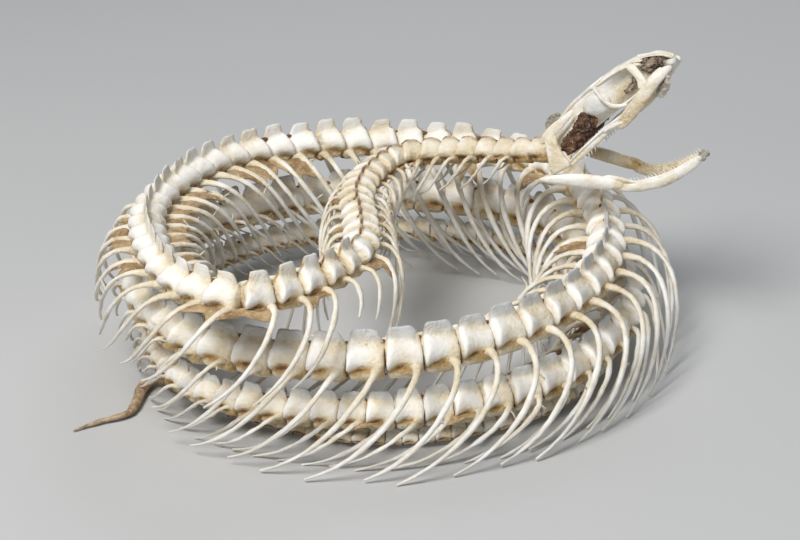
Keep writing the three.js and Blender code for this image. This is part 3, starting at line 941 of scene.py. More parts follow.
@dataclass(frozen=True)
class VertebraShape:
    """The cage of one vertebra: spine plate, domed arch, joint wings, pits, rib facets and keel."""

    name: str
    spine_height: float = 1.0
    spine_lean: float = 0.0
    wear: float = 0.0
    facet_level: float = -0.76
    stations: tuple[VertebraStation, ...] = SHORT_PLATE
    plate_half: float = 0.055
    keel_share: float = 1.0
    stain_by_ring: tuple[float, ...] = (0.3, 0.2, 0.05, 0.0, -0.08, 0.5)
    thin_by_ring: tuple[float, ...] = (0.0, 0.5, 0.45, 0.4, 0.1, 0.0)
    rear_stain_by_ring: tuple[float, ...] = (0.2, 0.0, 0.0, 0.35, 1.3, 0.3)
    stain_by_corner: tuple[float, ...] = (-0.12, 0.05, 0.0, -0.2, -0.22, -0.14, 0.42, 0.34, 0.4)
    pit_stain_by_ring: tuple[float, ...] = (0.1, 0.0, 0.3, 0.9, 0.7, 0.1)
    thin_by_corner: tuple[float, ...] = (1.0, 0.5, 0.0, 0.0, 0.0, 0.0, 0.0, 0.0, 0.0)
    pit_corner: int = 6
    crest_widening: float = 1.5
    shoulder: tuple[float, float, float] = (0.1, 0.13, 0.03)
    dome: tuple[float, float] = (0.3, 0.16)
    flank: tuple[float, float, float] = (0.6, 0.45, 0.06)
    pit: tuple[float, float] = (0.3, 0.2)
    keel_half: float = 0.24

    def half_section(self, station: VertebraStation) -> list[tuple[float, float, float]]:
        """Shapes one side of a section.

        Args:
            station: The section's sizes.

        Returns:
            Its corners, from the spine's top to the keel.
        """
        rise = (station.spine_top - station.arch_top) * self.spine_height
        top = station.arch_top + rise
        swept = station.wing_at - station.at
        shoulder_sweep, shoulder_out, shoulder_drop = self.shoulder
        dome_sweep, dome_drop = self.dome
        flank_sweep, flank_share, flank_drop = self.flank
        pit_sweep, pit_drop = self.pit
        return [
            (station.spine_at + self.spine_lean * rise, self.plate_half, top - self.wear * station.at),
            (station.at, self.plate_half * self.crest_widening, station.arch_top),
            (station.at + shoulder_sweep * swept, self.plate_half + shoulder_out,
             station.arch_top - shoulder_drop),
            (station.at + dome_sweep * swept, station.dome_half, station.arch_top - dome_drop),
            (station.at + flank_sweep * swept, station.flank_half,
             flank_share * station.arch_top - flank_drop),
            (station.wing_at, station.wing_out, station.wing_up),
            (station.at + pit_sweep * swept, station.pit_out, station.wing_up - pit_drop),
            (station.at, station.facet_out, self.facet_level),
            (station.at, self.keel_half, station.keel_down * self.keel_share),
        ]

    def stain_at(self, ring: int, corner: int) -> float:
        """Adds up the stain of a corner of the cage.

        Args:
            ring: Its section, counted from the front.
            corner: Its number from the spine's top down.

        Returns:
            The stain there.
        """
        extra = self.pit_stain_by_ring[ring] if corner == self.pit_corner else 0.0
        if corner == 0:
            extra = self.rear_stain_by_ring[ring]
        return self.stain_by_ring[ring] + self.stain_by_corner[corner] + extra

    def template(self) -> bpy.types.Object:
        """Builds the cage as an object one unit long and one half height tall.

        Returns:
            The object, with the attributes stain and thin, in plain units.
        """
        points, stain, thin = [], [], []
        for ring, station in enumerate(self.stations):
            half = self.half_section(station)
            loop = [*half, *((x, -y, z) for x, y, z in reversed(half))]
            points.extend((x - 0.5, y, z) for x, y, z in loop)
            corners = [*range(len(half)), *reversed(range(len(half)))]
            stain.extend(self.stain_at(ring, corner) for corner in corners)
            thin.extend(self.thin_by_corner[corner] * self.thin_by_ring[ring] for corner in corners)
        count = len(loop)
        faces = ring_faces(len(self.stations), count)[:-2]
        last = (len(self.stations) - 1) * count
        for corner in range(count // 2 - 1):
            mirror, step = count - 1 - corner, count - 2 - corner
            faces.append((corner, mirror, step, corner + 1))
            faces.append((last + corner, last + corner + 1, last + step, last + mirror))
        mesh = bpy.data.meshes.new(self.name)
        mesh.from_pydata(points, [], faces)
        point_layer(mesh, "stain", stain)
        point_layer(mesh, "thin", thin)
        flip_if_inside_out(mesh)
        return bpy.data.objects.new(self.name, mesh)


@dataclass(frozen=True)
class CrumbShape:
    """A crumb of dried tissue: a small uneven lump."""

    name: str
    seed: int = 3
    reach: float = 0.75
    unevenness: float = 0.35
    stain: float = 1.7

    def template(self) -> bpy.types.Object:
        """Builds the lump.

        Returns:
            An object about two units across, with the attributes stain and thin.
        """
        shell = bmesh.new()
        bmesh.ops.create_icosphere(shell, subdivisions=1, radius=1.0)
        for corner in shell.verts:
            corner.co *= self.reach + self.unevenness * scatter(self.seed * 7.1 + corner.index * 1.9)
        mesh = bpy.data.meshes.new(self.name)
        shell.to_mesh(mesh)
        shell.free()
        count = len(mesh.vertices)
        point_layer(mesh, "stain", [self.stain] * count)
        point_layer(mesh, "thin", [0.0] * count)
        return bpy.data.objects.new(self.name, mesh)


def flip_if_inside_out(mesh: bpy.types.Mesh) -> None:
    """Turns all faces of a closed mesh outwards.

    Args:
        mesh: The mesh to put right.
    """
    shell = bmesh.new()
    shell.from_mesh(mesh)
    bmesh.ops.recalc_face_normals(shell, faces=shell.faces)
    shell.to_mesh(mesh)
    shell.free()
    mesh.update()


# ---------------------------------------------------------------- geometry trees


class GrowthTree:
    """A geometry tree that sets templates on points and draws tubes along loose edges."""

    inputs: tuple[tuple[str, str, object], ...] = (
        ("Templates", "NodeSocketCollection", None),
        ("Smoothing", "NodeSocketInt", 1),
        ("Tube Corners", "NodeSocketInt", 7),
        ("Tube Flatness", "NodeSocketFloat", 0.78),
        ("Turn Scatter", "NodeSocketFloat", 0.03),
        ("Seed", "NodeSocketInt", 11),
        ("Finish", "NodeSocketMaterial", None),
    )
    jitter_middle: tuple[float, float, float] = (0.5, 0.5, 0.5)

    def __init__(self, name: str) -> None:
        """Builds the tree once, to be shared by all pieces.

        Args:
            name: Name of the node group.
        """
        self.tree = bpy.data.node_groups.new(name, "GeometryNodeTree")
        face = self.tree.interface
        face.new_socket("Geometry", in_out="INPUT", socket_type="NodeSocketGeometry")
        face.new_socket("Geometry", in_out="OUTPUT", socket_type="NodeSocketGeometry")
        for label, kind, default in self.inputs:
            socket = face.new_socket(label, in_out="INPUT", socket_type=kind)
            if default is not None:
                socket.default_value = default
        self._wire()

    def _named(self, board: Board, kind: str, name: str) -> bpy.types.NodeSocket:
        """Reads an attribute by name."""
        node = board.add("GeometryNodeInputNamedAttribute", {"data_type": kind}, Name=name)
        return next(socket for socket in node.outputs if socket.enabled)

    def _wire(self) -> None:
        """Adds and links the nodes."""
        board = Board(self.tree)
        given = board.add("NodeGroupInput").outputs
        parted = board.add("GeometryNodeSeparateGeometry", {"domain": "POINT"},
                           Geometry=given["Geometry"],
                           Selection=self._named(board, "BOOLEAN", "is_tube"))
        templates = board.add("GeometryNodeCollectionInfo", None, Collection=given["Templates"],
                              Separate_Children=True, Reset_Children=True)
        jitter = board.add("FunctionNodeRandomValue", {"data_type": "FLOAT_VECTOR"},
                           Seed=given["Seed"])
        spread = board.add("ShaderNodeVectorMath", {"operation": "SCALE"})
        centred = board.add("ShaderNodeVectorMath", {"operation": "SUBTRACT"})
        board.feed(centred, 0, jitter.outputs[0])
        board.feed(centred, 1, self.jitter_middle)
        board.feed(spread, 0, centred.outputs[0])
        board.feed(spread, "Scale", given["Turn Scatter"])
        nudge = board.add("FunctionNodeEulerToRotation", None, Euler=spread.outputs[0])
        turned = board.add("FunctionNodeRotateRotation", {"rotation_space": "LOCAL"},
                           Rotation=self._named(board, "QUATERNION", "axes"),
                           Rotate_By=nudge.outputs[0])
        stood = board.add("GeometryNodeInstanceOnPoints", None,
                          Points=parted.outputs["Inverted"], Instance=templates.outputs[0],
                          Pick_Instance=True, Instance_Index=self._named(board, "INT", "kind"),
                          Rotation=turned.outputs[0],
                          Scale=self._named(board, "FLOAT_VECTOR", "size"))
        real = board.add("GeometryNodeRealizeInstances", None, Geometry=stood.outputs[0])
        rounded = board.add("GeometryNodeSubdivisionSurface", None, Mesh=real.outputs[0],
                            Level=given["Smoothing"])
        lines = board.add("GeometryNodeMeshToCurve", None, Mesh=parted.outputs["Selection"])
        ring = board.add("GeometryNodeCurvePrimitiveCircle", {"mode": "RADIUS"},
                         Resolution=given["Tube Corners"], Radius=1.0)
        flat = board.add("ShaderNodeCombineXYZ", None, X=1.0, Y=given["Tube Flatness"], Z=1.0)
        oval = board.add("GeometryNodeTransform", None, Geometry=ring.outputs[0],
                         Scale=flat.outputs[0])
        tubes = board.add("GeometryNodeCurveToMesh", None, Curve=lines.outputs[0],
                          Profile_Curve=oval.outputs[0], Fill_Caps=True,
                          Scale=self._named(board, "FLOAT", "girth"))
        both = board.add("GeometryNodeJoinGeometry")
        self.tree.links.new(rounded.outputs[0], both.inputs[0])
        self.tree.links.new(tubes.outputs[0], both.inputs[0])
        soft = board.add("GeometryNodeSetShadeSmooth", None, Geometry=both.outputs[0])
        whole = board.add("GeometryNodeRealizeInstances", None, Geometry=soft.outputs[0])
        dress = board.add("GeometryNodeSetMaterial", None, Geometry=whole.outputs[0],
                          Material=given["Finish"])
        board.add("NodeGroupOutput", None, Geometry=dress.outputs[0])

    def grow(self, piece: bpy.types.Object, values: dict[str, object]) -> None:
        """Runs the tree on a piece and keeps the plain mesh.

        Args:
            piece: An object whose mesh holds the points and edges.
            values: Values of the tree's inputs, by name.
        """
        modifier = piece.modifiers.new("Growth", "NODES")
        modifier.node_group = self.tree
        for item in self.tree.interface.items_tree:
            if item.item_type == "SOCKET" and item.in_out == "INPUT" and item.name in values:
                modifier[item.identifier] = values[item.name]
        applied(piece)


@dataclass(frozen=True)
class Spot:
    """A template's place, rotation as w, x, y, z, size in millimetres, kind and age."""

    place: np.ndarray
    axes: tuple[float, float, float, float]
    size: tuple[float, float, float]
    kind: int
    age: float = 0.0


def seed_mesh(name: str, spots: Sequence[Spot], tubes: Sequence[Tube]) -> bpy.types.Mesh:
    """Makes the points and edges that a growth tree works on.

    Args:
        name: Name of the mesh.
        spots: One for each template to set.
        tubes: One for each tube to draw.

    Returns:
        The mesh with its attributes.
    """
    points = [spot.place for spot in spots]
    edges = []
    for tube in tubes:
        first = len(points)
        points.extend(tube.points)
        edges.extend((first + step, first + step + 1) for step in range(len(tube.points) - 1))
    mesh = fresh_mesh(name, points, (), edges)
    rest = len(points) - len(spots)
    layers = {
        ("axes", "QUATERNION", "value"):
            [value for spot in spots for value in spot.axes] + [1.0, 0.0, 0.0, 0.0] * rest,
        ("size", "FLOAT_VECTOR", "vector"):
            [value * MM for spot in spots for value in spot.size] + [0.0] * 3 * rest,
        ("kind", "INT", "value"): [spot.kind for spot in spots] + [0] * rest,
        ("is_tube", "BOOLEAN", "value"): [False] * len(spots) + [True] * rest,
        ("girth", "FLOAT", "value"):
            [0.0] * len(spots) + [value * MM for tube in tubes for value in tube.radii],
        ("stain", "FLOAT", "value"):
            [0.0] * len(spots) + [value for tube in tubes for value in tube.stain],
        ("thin", "FLOAT", "value"):
            [0.0] * len(spots) + [value for tube in tubes for value in tube.thin],
        ("age", "FLOAT", "value"):
            [spot.age for spot in spots] + [tube.age for tube in tubes for _ in tube.points],
    }
    for (label, kind, slot), values in layers.items():
        mesh.attributes.new(label, kind, "POINT").data.foreach_set(slot, values)
    return mesh


def quaternion_of(along: np.ndarray, up: np.ndarray) -> tuple[float, float, float, float]:
    """Works out how a template is turned.

    Args:
        along: Where its +X points.
        up: Where its +Z points.

    Returns:
        The rotation as w, x, y, z.
    """
    side = np.cross(up, along)
    rotation = Matrix((along, side, np.cross(along, side))).transposed()
    return tuple(rotation.to_quaternion())


# ---------------------------------------------------------------- the body


@dataclass
class Body:
    """Neck, trunk and tail: one piece for each length of the spine."""

    spine: Spine
    cage: RibCage
    tree: GrowthTree
    finish: bpy.types.Material
    skin: bpy.types.Material
    membrane_rows: int = 7
    membrane_columns: int = 5
    outer_skin_share: float = 0.5
    skin_share: Profile = Profile((
        (0, 0.2), (60, 0.7), (95, 0.8), (130, 0.9), (190, 0.8), (230, 0.3), (330, 0.35), (400, 0.6),
        (450, 0.35), (520, 0.4), (560, 0.0),
    ))
    age: Profile = Profile((
        (0, 1.3), (30, 1.1), (55, 0.8), (70, 0.5), (100, 0.45), (125, 0.25), (150, 0.1),
        (210, 0.1), (262, 0.2), (285, 0.4), (320, 0.45), (345, 0.3), (380, 0.2), (420, 0.3),
        (470, 0.3), (510, 0.4), (560, 0.5), (640, 0.65), (700, 0.65), (775, 0.9),
    ))
    rib_stain: Profile = Profile(((0, 0.5), (0.08, 0.3), (0.3, 0.1), (0.7, 0.0), (1, 0.05)))
    rib_thin: Profile = Profile(((0, 0.0), (0.2, 0.05), (0.6, 0.3), (1, 0.5)))
    tail_kind: int = 3
    long_kinds: tuple[int, int] = (6, 7)
    long_plates_from: float = 232.0
    plate_change: float = 12.0
    low_kind: int = 8
    low_plates_until: float = 66.0
    # Just under the number of kinds, so that the highest lot still picks the last one.
    short_choices: float = 2.98
    long_choices: float = 1.98
    age_scatter: float = 0.35
    age_middle: float = 0.3
    rib_age: float = 0.6
    crumb_kinds: tuple[int, int] = (4, 5)
    crumb_places: tuple[tuple[float, float, float, float], ...] = (
        (-0.1, 0.5, -0.7, 0.14), (-0.1, -0.5, -0.7, 0.14), (0.05, 0.38, -0.84, 0.13),
        (0.05, -0.38, -0.84, 0.13), (0.03, 0.05, 0.38, 0.17),
    )
    crumb_luck: float = -0.2
    crumb_scatter: float = 0.6
    crumb_length: float = 1.5
    crumb_height: float = 0.8
    threads_each: int = 2
    thread_luck: float = 0.35
    thread_first_point: int = 2
    thread_points: int = 3
    thread_run: float = 0.48
    thread_kink: float = 0.35
    thread_lowest: float = 0.1
    thread_radii: tuple[float, ...] = (0.16, 0.13, 0.1, 0.05)
    thread_tone: float = 0.3
    skin_top: tuple[float, float] = (0.02, 0.03)
    skin_depth: tuple[float, float] = (0.3, 0.1)
    skin_hollow: float = 0.16
    skin_sag: float = 0.3
    skin_thickness: float = 0.12
    skin_bumps: tuple[float, float] = (0.25, 0.8)
    bone_bumps: tuple[float, float] = (0.15, 0.85)

    def templates(self) -> bpy.types.Collection:
        """Makes the kinds of vertebra and crumb to choose from.

        Returns:
            A collection of their own that holds them in order.
        """
        kinds = bpy.data.collections.new("bone_kinds")
        shapes = (
            VertebraShape("kind_0_even"),
            VertebraShape("kind_1_worn", spine_height=0.9, spine_lean=0.1, wear=0.06),
            VertebraShape("kind_2_tall", spine_height=1.06, spine_lean=-0.06),
            VertebraShape("kind_3_tail", spine_height=0.7, facet_level=-0.55, stations=LONG_PLATE,
                          keel_share=0.8, stain_by_ring=LONG_STAIN, thin_by_ring=LONG_THIN),
            CrumbShape("kind_4_crumb", seed=3),
            CrumbShape("kind_5_crumb", seed=8),
            VertebraShape("kind_6_long", stations=LONG_PLATE, stain_by_ring=LONG_STAIN,
                          thin_by_ring=LONG_THIN),
            VertebraShape("kind_7_long_worn", spine_height=0.9, wear=0.05, stations=LONG_PLATE,
                          stain_by_ring=LONG_STAIN, thin_by_ring=LONG_THIN),
            VertebraShape("kind_8_low", stations=LOW_PLATE, stain_by_ring=LOW_STAIN,
                          stain_by_corner=LOW_CORNER_STAIN),
        )
        for shape in shapes:
            kinds.objects.link(shape.template())
        return kinds

    def age_of(self, vertebra: Vertebra) -> float:
        """How yellowed a vertebra is, with some that stand out."""
        lot = 0.5 + 0.5 * scatter(vertebra.number * 5.3)
        return self.age.at(vertebra.start) + self.age_scatter * (lot ** 2 - self.age_middle)

    def spot(self, vertebra: Vertebra) -> Spot:
        """Places a vertebra.

        Args:
            vertebra: The vertebra.

        Returns:
            Where it stands, which way it faces, its size and its kind.
        """
        middle = vertebra.start + 0.5 * vertebra.length
        at = self.spine.frame(middle)
        size = self.spine.half_height.at(middle)
        lot = (scatter(vertebra.number * 1.7) + 1) / 2
        choice = int(lot * self.short_choices)
        if vertebra.start + self.plate_change * scatter(vertebra.number * 2.2) > self.long_plates_from:
            choice = self.long_kinds[int(lot * self.long_choices)]
        elif vertebra.start < self.low_plates_until:
            choice = self.low_kind
        is_tail = vertebra.node.startswith("tail")
        return Spot(at.centre, quaternion_of(at.along, at.up), (vertebra.length, size, size),
                    self.tail_kind if is_tail else choice, self.age_of(vertebra))

    def crumbs(self, vertebra: Vertebra) -> list[Spot]:
        """Scatters dried tissue at the rear of a vertebra's spine and by its rib joints.

        Args:
            vertebra: The vertebra.

        Returns:
            A place for each crumb.
        """
        size = self.spine.half_height.at(vertebra.start)
        at = self.spine.frame(vertebra.start + vertebra.length)
        found = []
        for index, (along, inward, up, girth) in enumerate(self.crumb_places):
            luck = scatter(vertebra.number * 3.1 + index * 7.7)
            if luck < self.crumb_luck:
                continue
            spread = (1 + self.crumb_scatter * scatter(vertebra.number + index * 2.3)) * girth * size
            place = at.point(along * size, inward * size, up * size)
            reach = (spread * self.crumb_length, spread, spread * self.crumb_height)
            found.append(Spot(place, quaternion_of(at.along, at.up), reach, self.crumb_kinds[index % 2],
                              0.3 + 0.5 * luck))
        return found

    def tube(self, rib: Rib) -> Tube:
        """Gives a rib its stain and thinness.

        Args:
            rib: The rib.

        Returns:
            The tube to draw for it.
        """
        shares = np.linspace(0, 1, len(rib.points))
        stain = np.array([self.rib_stain.at(share) for share in shares])
        thin = np.array([self.rib_thin.at(share) for share in shares])
        return Tube(rib.points, rib.radii, stain, self.rib_age * self.age_of(rib.vertebra), thin)

    def threads(self, rib: Rib) -> list[Tube]:
        """Hangs wisps of dried tissue from a rib.

        Args:
            rib: The rib.

        Returns:
            A tube for each wisp.
        """
        found = []
        for index in range(self.threads_each):
            seed = rib.vertebra.number * 9.1 + rib.side * 3 + index * 1.7
            if scatter(seed) < self.thread_luck:
                continue
            where = self.thread_first_point + int((scatter(seed + 0.2) + 1) * self.thread_points)
            step = np.array([scatter(seed + 0.5), scatter(seed + 0.7), scatter(seed + 0.9)])
            row = [rib.points[where]]
            for bend in range(len(self.thread_radii) - 1):
                kink = np.array([scatter(seed + bend), scatter(seed + 2 * bend), scatter(seed + 3 * bend)])
                row.append(row[-1] + step * self.thread_run + kink * self.thread_kink)
            row = np.array(row)
            row[:, 2] = np.maximum(row[:, 2], self.thread_lowest)
            tone = np.full(len(row), self.thread_tone)
            found.append(Tube(row, np.array(self.thread_radii), tone, self.thread_tone, tone))
        return found

    def membrane(self, first: Rib, second: Rib) -> Surface:
        """A scrap of dried skin that hangs between two neighbouring ribs.

        Args:
            first: The rib on the head's side.
            second: The next rib.

        Returns:
            Its points and faces.
        """
        rows, columns = self.membrane_rows, self.membrane_columns
        seed = first.vertebra.number * 4.3 + first.side
        low = self.skin_top[0] + self.skin_top[1] * (1 + scatter(seed))
        points, faces = [], []
        for column in range(columns):
            across = column / (columns - 1)
            depth = self.skin_depth[0] + self.skin_depth[1] * scatter(seed + column * 1.3)
            high = low + depth - self.skin_hollow * math.sin(math.pi * across)
            for row in range(rows):
                where = (low + (high - low) * row / (rows - 1)) * (len(first.points) - 1)
                index = int(where)
                share = where - index
                a = first.points[index] * (1 - share) + first.points[index + 1] * share
                b = second.points[index] * (1 - share) + second.points[index + 1] * share
                sag = self.skin_sag * math.sin(math.pi * across) * scatter(seed + row + 0.5)
                points.append(a * (1 - across) + b * across + np.array((0.0, 0.0, sag)))
        for column in range(columns - 1):
            for row in range(rows - 1):
                corner = column * rows + row
                faces.append((corner, corner + 1, corner + rows + 1, corner + rows))
        return points, faces

    def skin_between(self, node: str, ribs: Sequence[Rib]) -> None:
        """Hangs scraps of dried skin between some of one length's ribs.

        Args:
            node: The length's name.
            ribs: Its ribs, inner and outer in turn.
        """
        scraps = []
        for first, second in zip(ribs, ribs[2:]):
            luck = 0.5 + 0.5 * scatter(first.vertebra.number * 2.9 + first.side * 5.1)
            share = self.skin_share.at(first.vertebra.start)
            if luck < share * (1.0 if first.side > 0 else self.outer_skin_share):
                scraps.append(self.membrane(first, second))
        if not scraps:
            return
        name = f"{node}_dried_skin"
        piece = linked(name, fresh_mesh(name, *joined_surface(scraps)))
        smoothed(piece, 1)
        weathered(piece, *self.skin_bumps)
        sheet = piece.modifiers.new("Sheet", "SOLIDIFY")
        sheet.thickness = self.skin_thickness * MM
        sheet.offset = 0.0
        applied(piece)
        dressed(piece, node, self.skin)

    def build(self) -> None:
        """Builds and dresses every length."""
        kinds = self.templates()
        ribs = self.cage.all_ribs()
        for node, _ in self.spine.lengths:
            members = [vertebra for vertebra in self.spine.vertebrae if vertebra.node == node]
            spots = [self.spot(vertebra) for vertebra in members]
            spots += [crumb for vertebra in members for crumb in self.crumbs(vertebra)]
            own = [rib for rib in ribs if rib.vertebra.node == node]
            tubes = [self.tube(rib) for rib in own]
            tubes += [thread for rib in own for thread in self.threads(rib)]
            piece = linked(f"{node}_bones", seed_mesh(node, spots, tubes))
            self.tree.grow(piece, {"Templates": kinds, "Finish": self.finish})
            weathered(piece, *self.bone_bumps)
            kept_above_floor(piece)
            dressed(piece, node, self.finish)
            self.skin_between(node, own)


@dataclass
class TailTip:
    """The dried, wrinkled end of the tail."""

    spine: Spine
    finish: bpy.types.Material
    overlap: float = 1.0
    rings: int = 30
    corners: int = 14
    pinch: float = 0.12
    folds: int = 3
    fold_depth: float = 0.1
    fold_turn: float = 0.4
    bumps: tuple[float, float] = (0.1, 0.9)
    half_width: Profile = Profile(((0, 0.75), (0.2, 0.9), (0.45, 1.0), (0.7, 0.8), (0.9, 0.4), (1, 0.1)))
    half_height: Profile = Profile(((0, 0.8), (0.2, 0.8), (0.45, 0.75), (0.7, 0.55), (0.9, 0.3), (1, 0.1)))

    def build(self) -> None:
        """Builds and dresses the tip."""
        start = self.spine.column_end - self.overlap
        length = self.spine.total - start
        points = []
        for ring in range(self.rings):
            share = ring / (self.rings - 1)
            at = self.spine.frame(start + share * length)
            pinch = 1 + self.pinch * scatter(ring * 1.3)
            for corner in range(self.corners):
                angle = 2 * math.pi * corner / self.corners
                fold = 1 + self.fold_depth * math.sin(self.folds * angle + ring * self.fold_turn)
                points.append(at.point(0, self.half_width.at(share) * math.sin(angle) * pinch * fold,
                                       self.half_height.at(share) * math.cos(angle) * pinch * fold))
        for point in points:
            point[2] = max(point[2], FLOOR_GAP / MM)
        mesh = fresh_mesh("tail_tip_skin", points, ring_faces(self.rings, self.corners))
        flip_if_inside_out(mesh)
        piece = linked("tail_tip_skin", mesh)
        smoothed(piece, 1)
        weathered(piece, *self.bumps)
        dressed(piece, "tail_tip", self.finish)


# ---------------------------------------------------------------- the head


@dataclass(frozen=True)
class Placement:
    """Where a group of bones stands: a place, then turns about Z, Y and X in degrees."""

    position: tuple[float, float, float]
    turn: float
    pitch: float
    roll: float = 0.0

    def points(self, local: Sequence) -> np.ndarray:
        """Carries points from the group's own axes to the skeleton's.

        Args:
            local: Points in millimetres.

        Returns:
            The points in the skeleton's frame.
        """
        turned = (Matrix.Rotation(math.radians(self.turn), 3, "Z")
                  @ Matrix.Rotation(math.radians(-self.pitch), 3, "Y")
                  @ Matrix.Rotation(math.radians(self.roll), 3, "X"))
        return np.asarray(local, float) @ np.array(turned).T + np.array(self.position)

    def direction(self, local: Sequence[float]) -> np.ndarray:
        """Turns a direction from the group's own axes to the skeleton's."""
        return self.points([local])[0] - np.array(self.position)

    def local(self, metres: Sequence) -> np.ndarray:
        """Carries a mesh's points back to the group's own axes.

        Args:
            metres: Points in the scene.

        Returns:
            The same points in millimetres.
        """
        axes = np.array([self.direction(axis) for axis in np.eye(3)])
        offset = np.asarray(metres, float) / MM - ORIGIN_SHIFT - np.array(self.position)
        return offset @ axes.T


SKULL = Placement((24.4, 14.0, 29.8), -25.0, 41.0)
JAW = Placement((26.75, 12.95, 27.75), -26.6, 9.7, 4.0)


@dataclass(frozen=True)
class Bar:
    """A bone drawn through stations: x, distance from the middle, z, half width, half height."""

    stations: tuple[tuple[float, float, float, float, float], ...]
    corners: int = 10
    upright: tuple[float, float, float] = (0.0, 0.0, 1.0)
    squareness: float = 0.0

    def surface(self, side: int) -> Surface:
        """Draws the bone in its group's own axes.

        Args:
            side: 1 for the left bone, -1 for the right one.

        Returns:
            The points and the faces.
        """
        centres = np.array([(x, side * y, z) for x, y, z, _, _ in self.stations])
        points = []
        for index, (_, _, _, half_width, half_height) in enumerate(self.stations):
            before, after = centres[max(index - 1, 0)], centres[min(index + 1, len(centres) - 1)]
            along = (after - before) / np.linalg.norm(after - before)
            up = np.array(self.upright) - along * np.dot(along, self.upright)
            up /= np.linalg.norm(up)
            across = np.cross(along, up)
            for corner in range(self.corners):
                angle = 2 * math.pi * corner / self.corners
                grow = 1 + self.squareness * math.sin(2 * angle) ** 2
                points.append(centres[index] + up * half_height * math.cos(angle) * grow
                              + across * half_width * math.sin(angle) * grow)
        return points, ring_faces(len(self.stations), self.corners)


def joined_surface(parts: Iterable[Surface]) -> Surface:
    """Puts several surfaces into one.

    Args:
        parts: The points and faces of each.

    Returns:
        All points and faces.
    """
    points, faces = [], []
    for some_points, some_faces in parts:
        first = len(points)
        points.extend(some_points)
        faces.extend(tuple(first + corner for corner in face) for face in some_faces)
    return points, faces


def bone_piece(name: str, placement: Placement, parts: Iterable[Surface], levels: int = 2,
               roughness: float = 0.07) -> bpy.types.Object:
    """Makes one smooth, slightly uneven bone.

    Args:
        name: Name of the piece.
        placement: The axes that the parts are in.
        parts: Surfaces that belong to the piece.
        levels: Rounding of the cages.
        roughness: Height of the unevenness, in millimetres.

    Returns:
        The piece.
    """
    points, faces = joined_surface(parts)
    mesh = fresh_mesh(name, placement.points(points), faces)
    flip_if_inside_out(mesh)
    piece = linked(name, mesh)
    smoothed(piece, levels)
    weathered(piece, roughness, BONE_BUMP_PITCH)
    return piece


@dataclass(frozen=True)
class Patch:
    """A soft-edged region of a bone: a middle, a reach each way, and how much it adds."""

    middle: tuple[float, float, float]
    reach: tuple[float, float, float]
    amount: float

    def at(self, places: np.ndarray) -> np.ndarray:
        """Works out the patch's strength, with left and right alike.

        Args:
            places: Places in its bone's own axes.

        Returns:
            How much it adds at each of them.
        """
        mirrored = np.abs(places * (0, 1, 0)) + places * (1, 0, 1)
        away = (mirrored - np.array(self.middle)) / np.array(self.reach)
        return self.amount * np.exp(-np.sum(away ** 2, axis=1))


def painted(piece: bpy.types.Object, placement: Placement, stain: Sequence[Patch],
            thin: Sequence[Patch] = (), base: float = 0.1) -> None:
    """Writes the stain and thin attributes from patches.

    Args:
        piece: The bone.
        placement: The axes that the patches are in.
        stain: Patches of stain.
        thin: Patches of thin, see-through bone.
        base: Stain where there is no patch.
    """
    mesh = piece.data
    places = placement.local([vertex.co for vertex in mesh.vertices])
    for label, patches, ground in (("stain", stain, base), ("thin", thin, 0.0)):
        values = np.full(len(places), ground)
        for patch in patches:
            values += patch.at(places)
        point_layer(mesh, label, values.tolist())


@dataclass(frozen=True)
class SkullStation:
    """A cross-section of the braincase: roof, wall and base."""

    x: float
    roof_top: float
    roof_edge: float
    roof_half: float
    wall_half: float
    wall_z: float
    base_half: float
    base_z: float

    def half(self) -> list[tuple[float, float, float]]:
        """Shapes one side of the section.

        Returns:
            Its corners, from the roof's middle to the base's middle.
        """
        under = self.roof_edge - 0.55
        upper_wall = 0.5 * (self.wall_half + min(self.wall_half, self.roof_half))
        lower_wall = 0.5 * (self.wall_half + self.base_half) + 0.15
        return [
            (self.x, 0.0, self.roof_top),
            (self.x, self.roof_half * 0.6, self.roof_top - 0.12),
            (self.x, self.roof_half, self.roof_edge),
            (self.x, self.roof_half * 0.93, under),
            (self.x, upper_wall, 0.5 * (under + self.wall_z)),
            (self.x, self.wall_half, self.wall_z),
            (self.x, lower_wall, 0.45 * self.wall_z + 0.55 * self.base_z),
            (self.x, self.base_half, self.base_z + 0.15),
            (self.x, 0.0, self.base_z),
        ]


